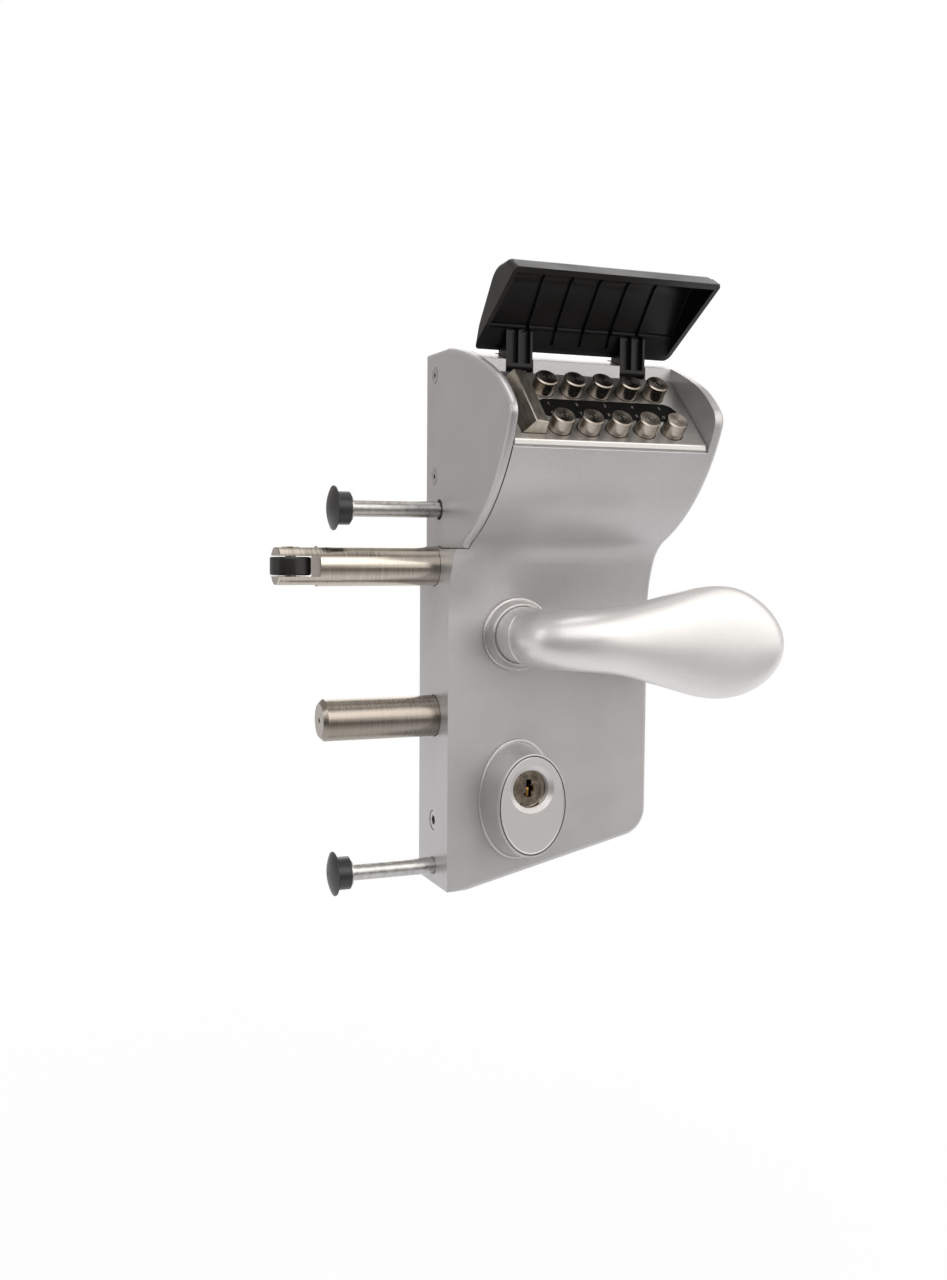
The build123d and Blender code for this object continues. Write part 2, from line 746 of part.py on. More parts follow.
with BuildPart() as digit_strip:
    with BuildSketch(deck.offset(-strip_recess)):
        with Locations(((strip_left + strip_right) / 2, strip_middle)):
            SlotOverall(strip_right - strip_left, strip_width)
    extrude(amount=strip_sheet)
digit_strip.part.label = "digit_strip"
export_step(digit_strip.part, "parts/digit_strip.step")

# Ten turned buttons, each with a stem, a stop collar under the guide and an end in the chamber
for number, (x, v) in enumerate(button_spots):
    plane = stem_plane(x, v)
    with BuildPart() as button:
        with BuildSketch(plane):
            with BuildLine():
                rim_start = (button_radius - button_chamfer, button_height)
                dish = TangentArc((0, button_height - button_dish), rim_start, tangent=(1, 0))
                Polyline(
                    dish @ 1, (button_radius, button_height - button_chamfer), (button_radius, head_low),
                    (stem_radius, head_low), (stem_radius, collar_low + stem_collar_height),
                    (stem_collar, collar_low + stem_collar_height), (stem_collar, collar_low),
                    (stem_radius, collar_low), (stem_radius, stem_low), (0, stem_low), dish @ 0,
                )
            make_face()
        revolve(axis=Axis(plane.origin, deck.z_dir))
    button.part.label = f"button_{(number + 1) % len(button_spots)}"
    export_step(button.part, f"parts/{button.part.label}.step")

# Wedge bar left of the buttons, on two stems of the same kind
bar_plane = Plane(origin=stem_plane(0, bar_rear).origin, x_dir=(1, 0, 0), z_dir=(0, -slope_cos, -slope_sin))
bar_middle = (bar_left + bar_right) / 2
with BuildPart() as reset_bar:
    with BuildSketch(bar_plane):
        with BuildLine():
            Polyline(
                (bar_left, bar_low), (bar_left, 0), (bar_left + bar_ridge, bar_ridge_height),
                (bar_left + bar_edge, bar_edge_height), (bar_right, 0), (bar_right, bar_low), close=True,
            )
        make_face()
    extrude(amount=bar_rear - bar_front)
    top_edges = reset_bar.edges().filter_by(
        lambda e: deck.to_local_coords(e.center()).Z > bar_edge_height / 2
    )
    chamfer(top_edges, length=bar_chamfer)
    with BuildSketch(deck.offset(stem_low)):
        with Locations(*[(bar_middle, v) for v in bar_stems]):
            Circle(stem_radius)
    extrude(amount=bar_low - stem_low)
    with BuildSketch(deck.offset(collar_low)):
        with Locations(*[(bar_middle, v) for v in bar_stems]):
            Circle(stem_collar)
    extrude(amount=stem_collar_height)
reset_bar.part.label = "reset_bar"
export_step(reset_bar.part, "parts/reset_bar.step")

# Guide block under the sheet, bored for every stem and spring
bar_spots = [(bar_middle, v) for v in bar_stems]
with BuildPart() as button_guide:
    with BuildSketch(deck.offset(-deck_sheet)):
        with Locations((guide_left + slip, guide_front + slip)):
            Rectangle(
                guide_right - guide_left - 2 * slip, guide_rear - guide_front - 2 * slip,
                align=(Align.MIN, Align.MIN),
            )
    extrude(amount=-guide_depth)
    with BuildSketch(deck.offset(-deck_sheet)):
        with Locations(*button_spots):
            Circle(button_hole)
    extrude(amount=spring_high + deck_sheet, mode=Mode.SUBTRACT)
    with BuildSketch(deck.offset(-deck_sheet)):
        with Locations((bar_hole[0], bar_hole[2])):
            Rectangle(bar_hole[1] - bar_hole[0], bar_hole[3] - bar_hole[2], align=(Align.MIN, Align.MIN))
    extrude(amount=bar_spring_high + deck_sheet, mode=Mode.SUBTRACT)
    with BuildSketch(deck.offset(-deck_sheet)):
        with Locations(*button_spots, *bar_spots):
            Circle(spring_outer + slip)
    extrude(amount=spring_low + deck_sheet, mode=Mode.SUBTRACT)
    with BuildSketch(deck.offset(-deck_sheet)):
        with Locations(*button_spots, *bar_spots):
            Circle(stem_radius + slip)
        with Locations(*deck_screw_spots):
            Circle(deck_screw_radius + slip)
    extrude(amount=-guide_depth, mode=Mode.SUBTRACT)
    with BuildSketch(deck.offset(-deck_sheet)):
        with Locations(*deck_screw_spots):
            Circle(deck_boss_radius + slip)
    extrude(amount=-deck_boss_height - gap, mode=Mode.SUBTRACT)
button_guide.part.label = "button_guide"
export_step(button_guide.part, "parts/button_guide.step")

with BuildPart() as button_springs:
    with Locations(*[deck.offset(spring_low) * Location((x, v, 0)) for x, v in button_spots]):
        add(tube(spring_inner, spring_outer, spring_high - spring_low))
button_springs.part.label = "button_springs"
export_step(button_springs.part, "parts/button_springs.step")

with BuildPart() as reset_springs:
    with Locations(*[deck.offset(spring_low) * Location((x, v, 0)) for x, v in bar_spots]):
        add(tube(spring_inner, spring_outer, bar_spring_high - spring_low))
reset_springs.part.label = "reset_springs"
export_step(reset_springs.part, "parts/reset_springs.step")

with BuildPart() as deck_screws:
    with BuildSketch(deck.offset(guide_low)):
        with Locations(*deck_screw_spots):
            Circle(deck_screw_radius)
    extrude(amount=guide_depth - deck_screw_radius)
    with BuildSketch(deck.offset(guide_low)):
        with Locations(*deck_screw_spots):
            Circle(deck_screw_head)
    extrude(amount=-deck_screw_head_height)
    with BuildSketch(deck.offset(guide_low - deck_screw_head_height)):
        with Locations(*deck_screw_spots):
            RegularPolygon(deck_screw_radius, 6)
    extrude(amount=deck_screw_radius, mode=Mode.SUBTRACT)
deck_screws.part.label = "deck_screws"
export_step(deck_screws.part, "parts/deck_screws.step")

# Code chamber, hung under the guide by its two cheeks
chamber_left = columns[0] - stem_collar - gap - chamber_cheek
chamber_right = columns[-1] + stem_collar + gap + chamber_cheek
with BuildPart() as code_chamber:
    with BuildSketch(deck.offset(chamber_high)):
        with Locations((chamber_left, guide_front + chamber_margin)):
            Rectangle(
                chamber_right - chamber_left, guide_rear - guide_front - 2 * chamber_margin,
                align=(Align.MIN, Align.MIN),
            )
    extrude(amount=-chamber_depth)
    with BuildSketch(deck.offset(chamber_high)):
        for x in (chamber_left, chamber_right - chamber_cheek):
            with Locations((x, guide_front + chamber_margin)):
                Rectangle(
                    chamber_cheek, guide_rear - guide_front - 2 * chamber_margin,
                    align=(Align.MIN, Align.MIN),
                )
    extrude(amount=guide_low - chamber_high)
    with BuildSketch(deck.offset(chamber_high)):
        with Locations(*button_spots):
            Circle(stem_radius + gap)
    extrude(amount=-stem_entry - button_travel - gap, mode=Mode.SUBTRACT)
code_chamber.part.label = "code_chamber"
export_step(code_chamber.part, "parts/code_chamber.step")

# Rain cover: a shelled tray with a grooved inside and two hinge brackets
foot_y, foot_height = cover_point(cover_foot)
tip_y, tip_height = cover_point(cover_tip)
rim_normal = (0, tip_height - foot_height, foot_y - tip_y)
rim_plane = Plane(origin=(0, foot_y, foot_height), x_dir=(1, 0, 0), z_dir=rim_normal)
rim_angle = degrees(atan2(tip_height - foot_height, tip_y - foot_y))
with BuildPart() as cover:
    with BuildSketch(Plane.YZ.offset(cover_left)):
        add(cover_section())
        make_face()
    extrude(amount=cover_right - cover_left)
    side_edges = cover.faces().sort_by(Axis.X)[0].edges() + cover.faces().sort_by(Axis.X)[-1].edges()
    outer_edges = side_edges.filter_by(lambda e: abs(rim_plane.to_local_coords(e.center()).Z) > slip)
    fillet(outer_edges, radius=cover_round)
    rim_face = cover.faces().filter_by(lambda f: abs(rim_plane.to_local_coords(f.center()).Z) < slip)[0]
    offset(amount=-cover_sheet, openings=rim_face)
    # A low ridge across the inside, cut by the grooves
    heel_y, heel_height = cover_point(cover_heel)
    with BuildSketch(Plane.YZ.offset(cover_left + cover_sheet / 2)):
        with Locations((heel_y - cover_sheet, heel_height - cover_rib / 2)):
            Circle(cover_rib)
    extrude(amount=cover_right - cover_left - cover_sheet)
    groove_pitch = (body_width - last_groove - first_groove) / (groove_count - 1)
    for number in range(groove_count):
        with BuildSketch(Plane.YZ.offset(first_groove + number * groove_pitch - groove_width / 2)):
            add(cover_section())
            make_face()
            offset(amount=groove_depth - cover_sheet)
        extrude(amount=groove_width, mode=Mode.SUBTRACT)
    # Thick front edge, which the grooves leave whole
    with BuildSketch(Plane.YZ.offset(cover_left + cover_sheet / 2)):
        add(cover_section())
        make_face()
        with Locations((tip_y, tip_height)):
            Rectangle(2 * cover_edge, beyond, rotation=rim_angle, mode=Mode.INTERSECT)
    extrude(amount=cover_right - cover_left - cover_sheet)
    bracket_top = hinge_z + bracket_rise
    wall_share = (bracket_rise - cover_foot[1]) / (cover_heel[1] - cover_foot[1])
    wall_top_y = foot_y + wall_share * (heel_y - foot_y) - cover_sheet / 2
    for centre in bracket_centres:
        with BuildSketch(Plane.YZ.offset(centre - bracket_width / 2)):
            with BuildLine():
                Polyline(
                    (hinge_y - bracket_front, bracket_top),
                    (hinge_y - bracket_front, hinge_z - bracket_low),
                    (hinge_y + bracket_back, hinge_z - bracket_low),
                    (hinge_y + bracket_back, foot_height + bracket_lap),
                    (foot_y - cover_sheet / 2, foot_height + bracket_lap),
                    (wall_top_y, bracket_top),
                    close=True,
                )
            make_face()
        extrude(amount=bracket_width)
        low_edges = cover.edges().filter_by(Axis.X).filter_by_position(
            Axis.Z, hinge_z - bracket_low - slip, hinge_z - bracket_low + slip
        )
        fillet(low_edges.filter_by_position(Axis.X, centre - slip, centre + slip), radius=bracket_round)
        with BuildSketch(Plane.XZ.offset(-(hinge_y - bracket_front))):
            pocket_width = (bracket_width - 3 * bracket_skin) / 2
            with Locations((centre, (bracket_top + hinge_z) / 2)):
                with GridLocations(pocket_width + bracket_skin, 1, 2, 1):
                    Rectangle(pocket_width, bracket_top - hinge_z - 2 * bracket_skin + bracket_low)
        extrude(amount=-bracket_pocket, mode=Mode.SUBTRACT)
        with BuildSketch(Plane.YZ.offset(centre - bracket_width / 2)):
            with Locations((hinge_y, hinge_z)):
                Circle(hinge_pin_radius + slip)
        extrude(amount=bracket_width, mode=Mode.SUBTRACT)
cover.part.label = "cover"
export_step(cover.part, "parts/cover.step")

with BuildPart() as cover_pins:
    for centre in bracket_centres:
        with BuildSketch(Plane.YZ.offset(centre - bracket_gap - hinge_pin_grip)):
            with Locations((hinge_y, hinge_z)):
                Circle(hinge_pin_radius)
        extrude(amount=2 * (bracket_gap + hinge_pin_grip))
cover_pins.part.label = "cover_pins"
export_step(cover_pins.part, "parts/cover_pins.step")

# Lever handle: a round neck that bends into a paddle, lofted through ellipses
grip_y = front_y - lever_reach
bend_y = grip_y + lever_bend
bend_x = spindle_x + lever_bend
turn_cos = cos(radians(lever_turn_angle))
turn_sin = sin(radians(lever_turn_angle))
turn_x = bend_x - lever_bend * turn_cos
turn_y = bend_y - lever_bend * turn_sin
lever_planes = [
    (axis_plane(spindle_x, front_y - gap - neck_length, 0, 1), neck_radius, neck_radius),
    (axis_plane(spindle_x, bend_y, 0, 1), neck_radius, neck_radius),
    (Plane(origin=(turn_x, turn_y, 0), x_dir=(0, 0, 1), z_dir=(turn_sin, -turn_cos, 0)), *lever_turn),
]
for reach, half_height, half_thick, drop in paddle_sections:
    station = Plane(origin=(spindle_x + reach, grip_y, -drop), x_dir=(0, 0, 1), z_dir=(1, 0, 0))
    lever_planes.append((station, half_height, half_thick))
with BuildPart() as handle_front:
    sections = []
    for plane, half_height, half_thick in lever_planes:
        with BuildSketch(plane, mode=Mode.PRIVATE) as section:
            Ellipse(half_height, half_thick)
        sections.append(section.sketch.face())
    loft(sections=[*sections, Vertex(spindle_x + lever_length, grip_y, -lever_droop)])
    with BuildSketch(axis_plane(spindle_x, front_y - gap, 0)):
        Circle(neck_radius)
    extrude(amount=neck_length)
    with BuildSketch(axis_plane(spindle_x, front_y - gap, 0)):
        Rectangle(spindle_square + 2 * slip, spindle_square + 2 * slip)
    extrude(amount=spindle_length / 2 + front_y + gap, mode=Mode.SUBTRACT)
    with BuildSketch(Plane.XY.offset(-neck_radius)):
        with Locations((spindle_x, front_y - grub_reach)):
            Circle(grub_radius + seat_gap)
    extrude(amount=neck_radius, mode=Mode.SUBTRACT)
handle_front.part.label = "handle_front"
export_step(handle_front.part, "parts/handle_front.step")

with BuildPart() as handle_rear:
    mirror(handle_front.part, about=Plane.XZ)
handle_rear.part.label = "handle_rear"
export_step(handle_rear.part, "parts/handle_rear.step")

with BuildPart() as handle_screws:
    grub_top = -spindle_square / 2 - slip
    for y in (front_y - grub_reach, rear_y + grub_reach):
        with BuildSketch(Plane.XY.offset(grub_top - grub_length)):
            with Locations((spindle_x, y)):
                Circle(grub_radius)
        extrude(amount=grub_length)
        with BuildSketch(Plane.XY.offset(grub_top - grub_length)):
            with Locations((spindle_x, y)):
                RegularPolygon(grub_radius * socket_share, 6)
        extrude(amount=grub_length / 2, mode=Mode.SUBTRACT)
handle_screws.part.label = "handle_screws"
export_step(handle_screws.part, "parts/handle_screws.step")

# Bearing ring of the lever, a rounded foot and a cone
with BuildPart() as handle_rose_front:
    with BuildSketch(Plane(origin=(spindle_x, front_y, 0), x_dir=(1, 0, 0), z_dir=(0, 0, 1))):
        with BuildLine():
            Polyline(
                (neck_radius + gap, 0), (rose_radius, 0), (rose_radius, -rose_height),
                (rose_foot_radius, -rose_height), (rose_top_radius, -rose_reach),
                (neck_radius + gap, -rose_reach), close=True,
            )
        make_face()
    revolve(axis=Axis((spindle_x, 0, 0), (0, 1, 0)))
    foot_rim = handle_rose_front.edges().filter_by(GeomType.CIRCLE).sort_by(lambda e: e.radius)[-2:]
    fillet(foot_rim.sort_by(Axis.Y)[0], radius=rose_round)
    top_rim = handle_rose_front.edges().filter_by(GeomType.CIRCLE).filter_by_position(
        Axis.Y, front_y - rose_reach - slip, front_y - rose_reach + slip
    )
    fillet(top_rim.sort_by(lambda e: e.radius)[-1], radius=rose_round / 2)
handle_rose_front.part.label = "handle_rose_front"
export_step(handle_rose_front.part, "parts/handle_rose_front.step")

with BuildPart() as handle_rose_rear:
    mirror(handle_rose_front.part, about=Plane.XZ)
handle_rose_rear.part.label = "handle_rose_rear"
export_step(handle_rose_rear.part, "parts/handle_rose_rear.step")

with BuildPart() as spindle:
    with BuildSketch(axis_plane(spindle_x, spindle_length / 2, 0)):
        Rectangle(spindle_square, spindle_square)
    extrude(amount=spindle_length)
spindle.part.label = "spindle"
export_step(spindle.part, "parts/spindle.step")

# Follower: a hub with two bushes in the walls and an arm that pulls the latch
with BuildPart() as follower:
    with BuildSketch(axis_plane(spindle_x, rear_y - bush_end, 0)):
        Circle(bush_radius)
    extrude(amount=body_depth - 2 * bush_end)
    with BuildSketch(axis_plane(spindle_x, follower_half, 0)):
        Circle(follower_radius)
        with Locations(Rotation(0, 0, -follower_arm_lean)):
            Rectangle(follower_arm_width, follower_arm, align=(Align.CENTER, Align.MIN))
    extrude(amount=2 * follower_half)
    with BuildSketch(axis_plane(spindle_x, rear_y, 0)):
        Rectangle(spindle_square + 2 * slip, spindle_square + 2 * slip)
    extrude(amount=body_depth, mode=Mode.SUBTRACT)
follower.part.label = "follower"
export_step(follower.part, "parts/follower.step")

with BuildPart() as follower_spring:
    with Locations(axis_plane(spindle_x, follower_half + 2 * gap, 0, 1)):
        add(tube(bush_radius + gap, follower_radius, plate_y - follower_half - 3 * gap))
follower_spring.part.label = "follower_spring"
export_step(follower_spring.part, "parts/follower_spring.step")

# Latch bolt: a slotted bar with a roller on an upright pin
with BuildPart() as latch_bolt:
    with BuildSketch(Plane.YZ.offset(latch_nose_x)):
        with Locations((0, latch_z)):
            Circle(latch_radius)
    extrude(amount=latch_inner_x - latch_nose_x)
    chamfer(latch_bolt.faces().sort_by(Axis.X)[0].edges(), length=latch_edge)
    with BuildSketch(Plane.XZ.offset(-latch_radius)):
        with Locations((latch_nose_x, latch_z)):
            Rectangle(
                latch_slot_x - latch_nose_x, latch_slot_height, align=(Align.MIN, Align.CENTER),
            )
        for side in (1, -1):
            with Locations((latch_nose_x, latch_z + side * (latch_flat + latch_radius / 2))):
                Rectangle(latch_slot_x - latch_nose_x, latch_radius, align=(Align.MIN, Align.CENTER))
    extrude(amount=2 * latch_radius, mode=Mode.SUBTRACT)
    with BuildSketch(Plane.XY.offset(latch_z - latch_radius)):
        with Locations((roller_x, 0)):
            Circle(roller_pin_radius + seat_gap)
    extrude(amount=2 * latch_radius, mode=Mode.SUBTRACT)
    with BuildSketch(Plane.YZ.offset(latch_inner_x)):
        with Locations((0, latch_z)):
            Circle(tail_rod_radius + seat_gap)
    extrude(amount=-latch_socket, mode=Mode.SUBTRACT)
latch_bolt.part.label = "latch_bolt"
export_step(latch_bolt.part, "parts/latch_bolt.step")

with BuildPart() as latch_roller:
    with BuildSketch(Plane.XY.offset(latch_z - roller_thick / 2)):
        with Locations((roller_x, 0)):
            Circle(roller_radius)
            Circle(roller_pin_radius + slip, mode=Mode.SUBTRACT)
    extrude(amount=roller_thick)
    roller_rims = latch_roller.edges().filter_by(GeomType.CIRCLE).sort_by(lambda e: e.radius)[-2:]
    fillet(roller_rims, radius=latch_edge)
latch_roller.part.label = "latch_roller"
export_step(latch_roller.part, "parts/latch_roller.step")

with BuildPart() as roller_pin:
    with BuildSketch(Plane(origin=(roller_x, 0, latch_z), x_dir=(1, 0, 0), z_dir=(0, -1, 0))):
        with BuildLine():
            dome_top = (0, latch_flat + roller_pin_dome)
            dome = TangentArc(dome_top, (roller_pin_head, latch_flat + roller_pin_edge), tangent=(1, 0))
            Polyline(
                dome @ 1, (roller_pin_head, latch_flat), (roller_pin_radius, latch_flat),
                (roller_pin_radius, -latch_flat), (0, -latch_flat), dome @ 0,
            )
        make_face()
    revolve(axis=Axis((roller_x, 0, 0), (0, 0, 1)))
roller_pin.part.label = "roller_pin"
export_step(roller_pin.part, "parts/roller_pin.step")

# Tail rod of the latch, with the lug that the follower's arm pushes and a spring shoulder
with BuildPart() as latch_tail:
    with BuildSketch(Plane.YZ.offset(latch_inner_x - latch_socket)):
        with Locations((0, latch_z)):
            Circle(tail_rod_radius)
    extrude(amount=tail_end_x - latch_inner_x + latch_socket)
    with BuildSketch(Plane.YZ.offset(tail_shoulder_x)):
        with Locations((0, latch_z)):
            Circle(tail_shoulder)
    extrude(amount=tail_shoulder_width)
    with BuildSketch(Plane.XZ.offset(-tail_half)):
        with Locations((spindle_x + lug_offset, lug_low_z)):
            Rectangle(lug_width, latch_z - lug_low_z, align=(Align.MIN, Align.MIN))
    extrude(amount=2 * tail_half)
latch_tail.part.label = "latch_tail"
export_step(latch_tail.part, "parts/latch_tail.step")

latch_spring_x = tail_shoulder_x + tail_shoulder_width + latch_travel + spring_clear
with BuildPart() as latch_spring:
    with Locations(Plane(origin=(latch_spring_x, 0, latch_z), z_dir=(1, 0, 0))):
        add(tube(latch_spring_inner, latch_spring_outer, cavity_right - latch_spring_x))
latch_spring.part.label = "latch_spring"
export_step(latch_spring.part, "parts/latch_spring.step")

# Deadbolt, drawn in at rest, with a star screw set in its face
with BuildPart() as deadbolt:
    with BuildSketch(Plane.YZ.offset(bolt_face_x)):
        with Locations((0, bolt_z)):
            Circle(bolt_radius)
    extrude(amount=bolt_inner_x - bolt_face_x)
    chamfer(deadbolt.faces().sort_by(Axis.X)[0].edges(), length=bolt_edge)
    with BuildSketch(Plane.YZ.offset(bolt_face_x)):
        with Locations((0, bolt_z)):
            Circle(bolt_screw_radius + seat_gap)
    extrude(amount=bolt_screw_length, mode=Mode.SUBTRACT)
    with BuildSketch(Plane.YZ.offset(bolt_inner_x)):
        with Locations((0, bolt_z)):
            Circle(bolt_tail_stub + seat_gap)
    extrude(amount=-bolt_tail_socket, mode=Mode.SUBTRACT)
deadbolt.part.label = "deadbolt"
export_step(deadbolt.part, "parts/deadbolt.step")

with BuildPart() as deadbolt_screw:
    with BuildSketch(Plane.YZ.offset(bolt_face_x)):
        with Locations((0, bolt_z)):
            Circle(bolt_screw_radius)
    extrude(amount=bolt_screw_length)
    with BuildSketch(Plane.YZ.offset(bolt_face_x)):
        with Locations((0, bolt_z)):
            RegularPolygon(bolt_screw_socket, 3)
            RegularPolygon(bolt_screw_socket, 3, rotation=180)
    extrude(amount=bolt_screw_socket_depth, mode=Mode.SUBTRACT)
deadbolt_screw.part.label = "deadbolt_screw"
export_step(deadbolt_screw.part, "parts/deadbolt_screw.step")

with BuildPart() as deadbolt_tail:
    with BuildSketch(Plane.XZ.offset(-bolt_tail_half)):
        with Locations(((bolt_inner_x + bolt_tail_end_x) / 2, bolt_z)):
            Rectangle(bolt_tail_end_x - bolt_inner_x, bolt_tail_height)
        for left, right in bolt_gate:
            with Locations((spindle_x + left, bolt_gate_z)):
                Rectangle(right - left, bolt_z - bolt_gate_z, align=(Align.MIN, Align.MIN))
    extrude(amount=2 * bolt_tail_half)
    with BuildSketch(Plane.YZ.offset(bolt_inner_x)):
        with Locations((0, bolt_z)):
            Circle(bolt_tail_stub)
    extrude(amount=-bolt_tail_socket)
deadbolt_tail.part.label = "deadbolt_tail"
export_step(deadbolt_tail.part, "parts/deadbolt_tail.step")

# Profile cylinder: two barrels joined by a bridge, a plug at each end and a cam between
with BuildPart() as cylinder_body:
    with BuildSketch(axis_plane(spindle_x, cylinder_half, cylinder_z)):
        draw_euro_profile(0)
    extrude(amount=2 * cylinder_half)
    with BuildSketch(axis_plane(spindle_x, cylinder_half, cylinder_z)):
        Circle(plug_radius + plug_fit)
    extrude(amount=2 * cylinder_half, mode=Mode.SUBTRACT)
    with BuildSketch(axis_plane(spindle_x, cylinder_split, cylinder_z - cylinder_bridge)):
        Rectangle(2 * (cam_radius + gap), 2 * (cam_radius + gap), align=(Align.CENTER, Align.MIN))
    extrude(amount=2 * cylinder_split, mode=Mode.SUBTRACT)
    with BuildSketch(Plane.YZ):
        with Locations((0, cylinder_screw_z)):
            Circle(cylinder_screw_radius + seat_gap)
    extrude(amount=cylinder_screw_length, mode=Mode.SUBTRACT)
cylinder_body.part.label = "cylinder_body"
export_step(cylinder_body.part, "parts/cylinder_body.step")

with BuildPart() as cylinder_plug_front:
    with BuildSketch(axis_plane(spindle_x, -cam_half, cylinder_z)):
        Circle(plug_radius)
    extrude(amount=cylinder_half - cam_half)
    with BuildSketch(axis_plane(spindle_x, -cylinder_half, cylinder_z)):
        Rectangle(keyway_width, keyway_height)
        for across, up, height in keyway_wards:
            with Locations((across, up)):
                Rectangle(keyway_width, height)
    extrude(amount=-keyway_depth, mode=Mode.SUBTRACT)
cylinder_plug_front.part.label = "cylinder_plug_front"
export_step(cylinder_plug_front.part, "parts/cylinder_plug_front.step")

with BuildPart() as cylinder_plug_rear:
    mirror(cylinder_plug_front.part, about=Plane.XZ)
cylinder_plug_rear.part.label = "cylinder_plug_rear"
export_step(cylinder_plug_rear.part, "parts/cylinder_plug_rear.step")

with BuildPart() as cylinder_cam:
    with BuildSketch(axis_plane(spindle_x, cam_half, cylinder_z)):
        Circle(cam_ring)
        with BuildSketch(mode=Mode.PRIVATE) as tongue:
            Circle(cam_radius)
            Rectangle(cam_width, 2 * cam_radius, align=(Align.CENTER, Align.MAX), mode=Mode.INTERSECT)
        add(tongue.sketch)
    extrude(amount=2 * cam_half)
cylinder_cam.part.label = "cylinder_cam"
export_step(cylinder_cam.part, "parts/cylinder_cam.step")

with BuildPart() as cylinder_screw:
    with BuildSketch(Plane.YZ.offset(gap)):
        with Locations((0, cylinder_screw_z)):
            Circle(cylinder_screw_head)
    extrude(amount=cylinder_screw_head_height)
    with BuildSketch(Plane.YZ.offset(gap)):
        with Locations((0, cylinder_screw_z)):
            Circle(cylinder_screw_radius)
    extrude(amount=cylinder_screw_length - gap)
    with BuildSketch(Plane.YZ.offset(gap)):
        with Locations((0, cylinder_screw_z)):
            RegularPolygon(cylinder_screw_radius, 6)
    extrude(amount=cylinder_screw_head_height - slip, mode=Mode.SUBTRACT)
cylinder_screw.part.label = "cylinder_screw"
export_step(cylinder_screw.part, "parts/cylinder_screw.step")

# Oval collar over the cylinder: a rounded foot ring and a cone, with an oval plate let into its face
collar_face_y = front_y - collar_height
insert_half = (collar_face[0] - insert_margin, collar_face[1] - insert_margin)
with BuildPart() as cylinder_rose_front:
    with BuildSketch(ellipse_plane(front_y)):
        Ellipse(*collar_base)
    extrude(amount=collar_bead)
    fillet(cylinder_rose_front.edges().sort_by(Axis.Y)[0], radius=collar_round)
    with BuildSketch(ellipse_plane(front_y - collar_bead + collar_round)):
        Ellipse(*collar_waist)
    with BuildSketch(ellipse_plane(collar_face_y)):
        Ellipse(*collar_face)
    loft()
    fillet(cylinder_rose_front.edges().sort_by(Axis.Y)[0], radius=collar_round / 2)
    with BuildSketch(ellipse_plane(collar_face_y)):
        Ellipse(insert_half[0] + slip, insert_half[1] + slip)
    extrude(amount=-insert_sheet, mode=Mode.SUBTRACT)
    with BuildSketch(axis_plane(spindle_x, front_y, cylinder_z)):
        draw_euro_profile(slip)
    extrude(amount=collar_height, mode=Mode.SUBTRACT)
cylinder_rose_front.part.label = "cylinder_rose_front"
export_step(cylinder_rose_front.part, "parts/cylinder_rose_front.step")

with BuildPart() as cylinder_rose_rear:
    mirror(cylinder_rose_front.part, about=Plane.XZ)
cylinder_rose_rear.part.label = "cylinder_rose_rear"
export_step(cylinder_rose_rear.part, "parts/cylinder_rose_rear.step")

with BuildPart() as cylinder_insert_front:
    with BuildSketch(ellipse_plane(collar_face_y)):
        Ellipse(*insert_half)
    extrude(amount=-insert_sheet)
    with Locations(axis_plane(spindle_x, collar_face_y, cylinder_z)):
        CounterSinkHole(collar_hole, insert_dish, depth=insert_sheet, counter_sink_angle=insert_dish_angle)
cylinder_insert_front.part.label = "cylinder_insert_front"
export_step(cylinder_insert_front.part, "parts/cylinder_insert_front.step")

with BuildPart() as cylinder_insert_rear:
    mirror(cylinder_insert_front.part, about=Plane.XZ)
cylinder_insert_rear.part.label = "cylinder_insert_rear"
export_step(cylinder_insert_rear.part, "parts/cylinder_insert_rear.step")

# Two fixing bolts across the gate's frame, and the caps over their heads
with BuildPart() as fixing_bolts:
    for height in fixing_heights:
        for start, end, radius in (
            (-frame_width, fixing_head - frame_width, fixing_head_radius),
            (fixing_head - frame_width, 0, fixing_radius),
            (0, fixing_thread, fixing_thread_radius),
        ):
            with BuildSketch(Plane.YZ.offset(start)):
                with Locations((0, height)):
                    Circle(radius)
            extrude(amount=end - start)
        with BuildSketch(Plane.YZ.offset(-frame_width)):
            with Locations((0, height)):
                RegularPolygon(fixing_hex, 6)
        extrude(amount=fixing_head / 2, mode=Mode.SUBTRACT)
fixing_bolts.part.label = "fixing_bolts"
export_step(fixing_bolts.part, "parts/fixing_bolts.step")

with BuildPart() as bolt_caps:
    for height in fixing_heights:
        cap_inner = fixing_head_radius + slip
        with BuildSketch(Plane(origin=(-frame_width, 0, height), x_dir=(0, 1, 0), z_dir=(0, 0, 1))):
            with BuildLine():
                crest = TangentArc((0, bolt_cap_dome), (bolt_cap_radius, bolt_cap_edge), tangent=(1, 0))
                Polyline(
                    crest @ 1, (bolt_cap_radius, 0), (cap_inner + bolt_cap_wall, 0),
                    (cap_inner + bolt_cap_wall, -bolt_cap_sleeve), (cap_inner, -bolt_cap_sleeve),
                    (cap_inner, 0), (0, 0), crest @ 0,
                )
            make_face()
        revolve(axis=Axis((0, 0, height), (1, 0, 0)))
bolt_caps.part.label = "bolt_caps"
export_step(bolt_caps.part, "parts/bolt_caps.step")
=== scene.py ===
import logging
from dataclasses import KW_ONLY, dataclass
from enum import Enum
from math import cos, radians, sin
from typing import ClassVar

import bpy
from mathutils import Matrix, Vector


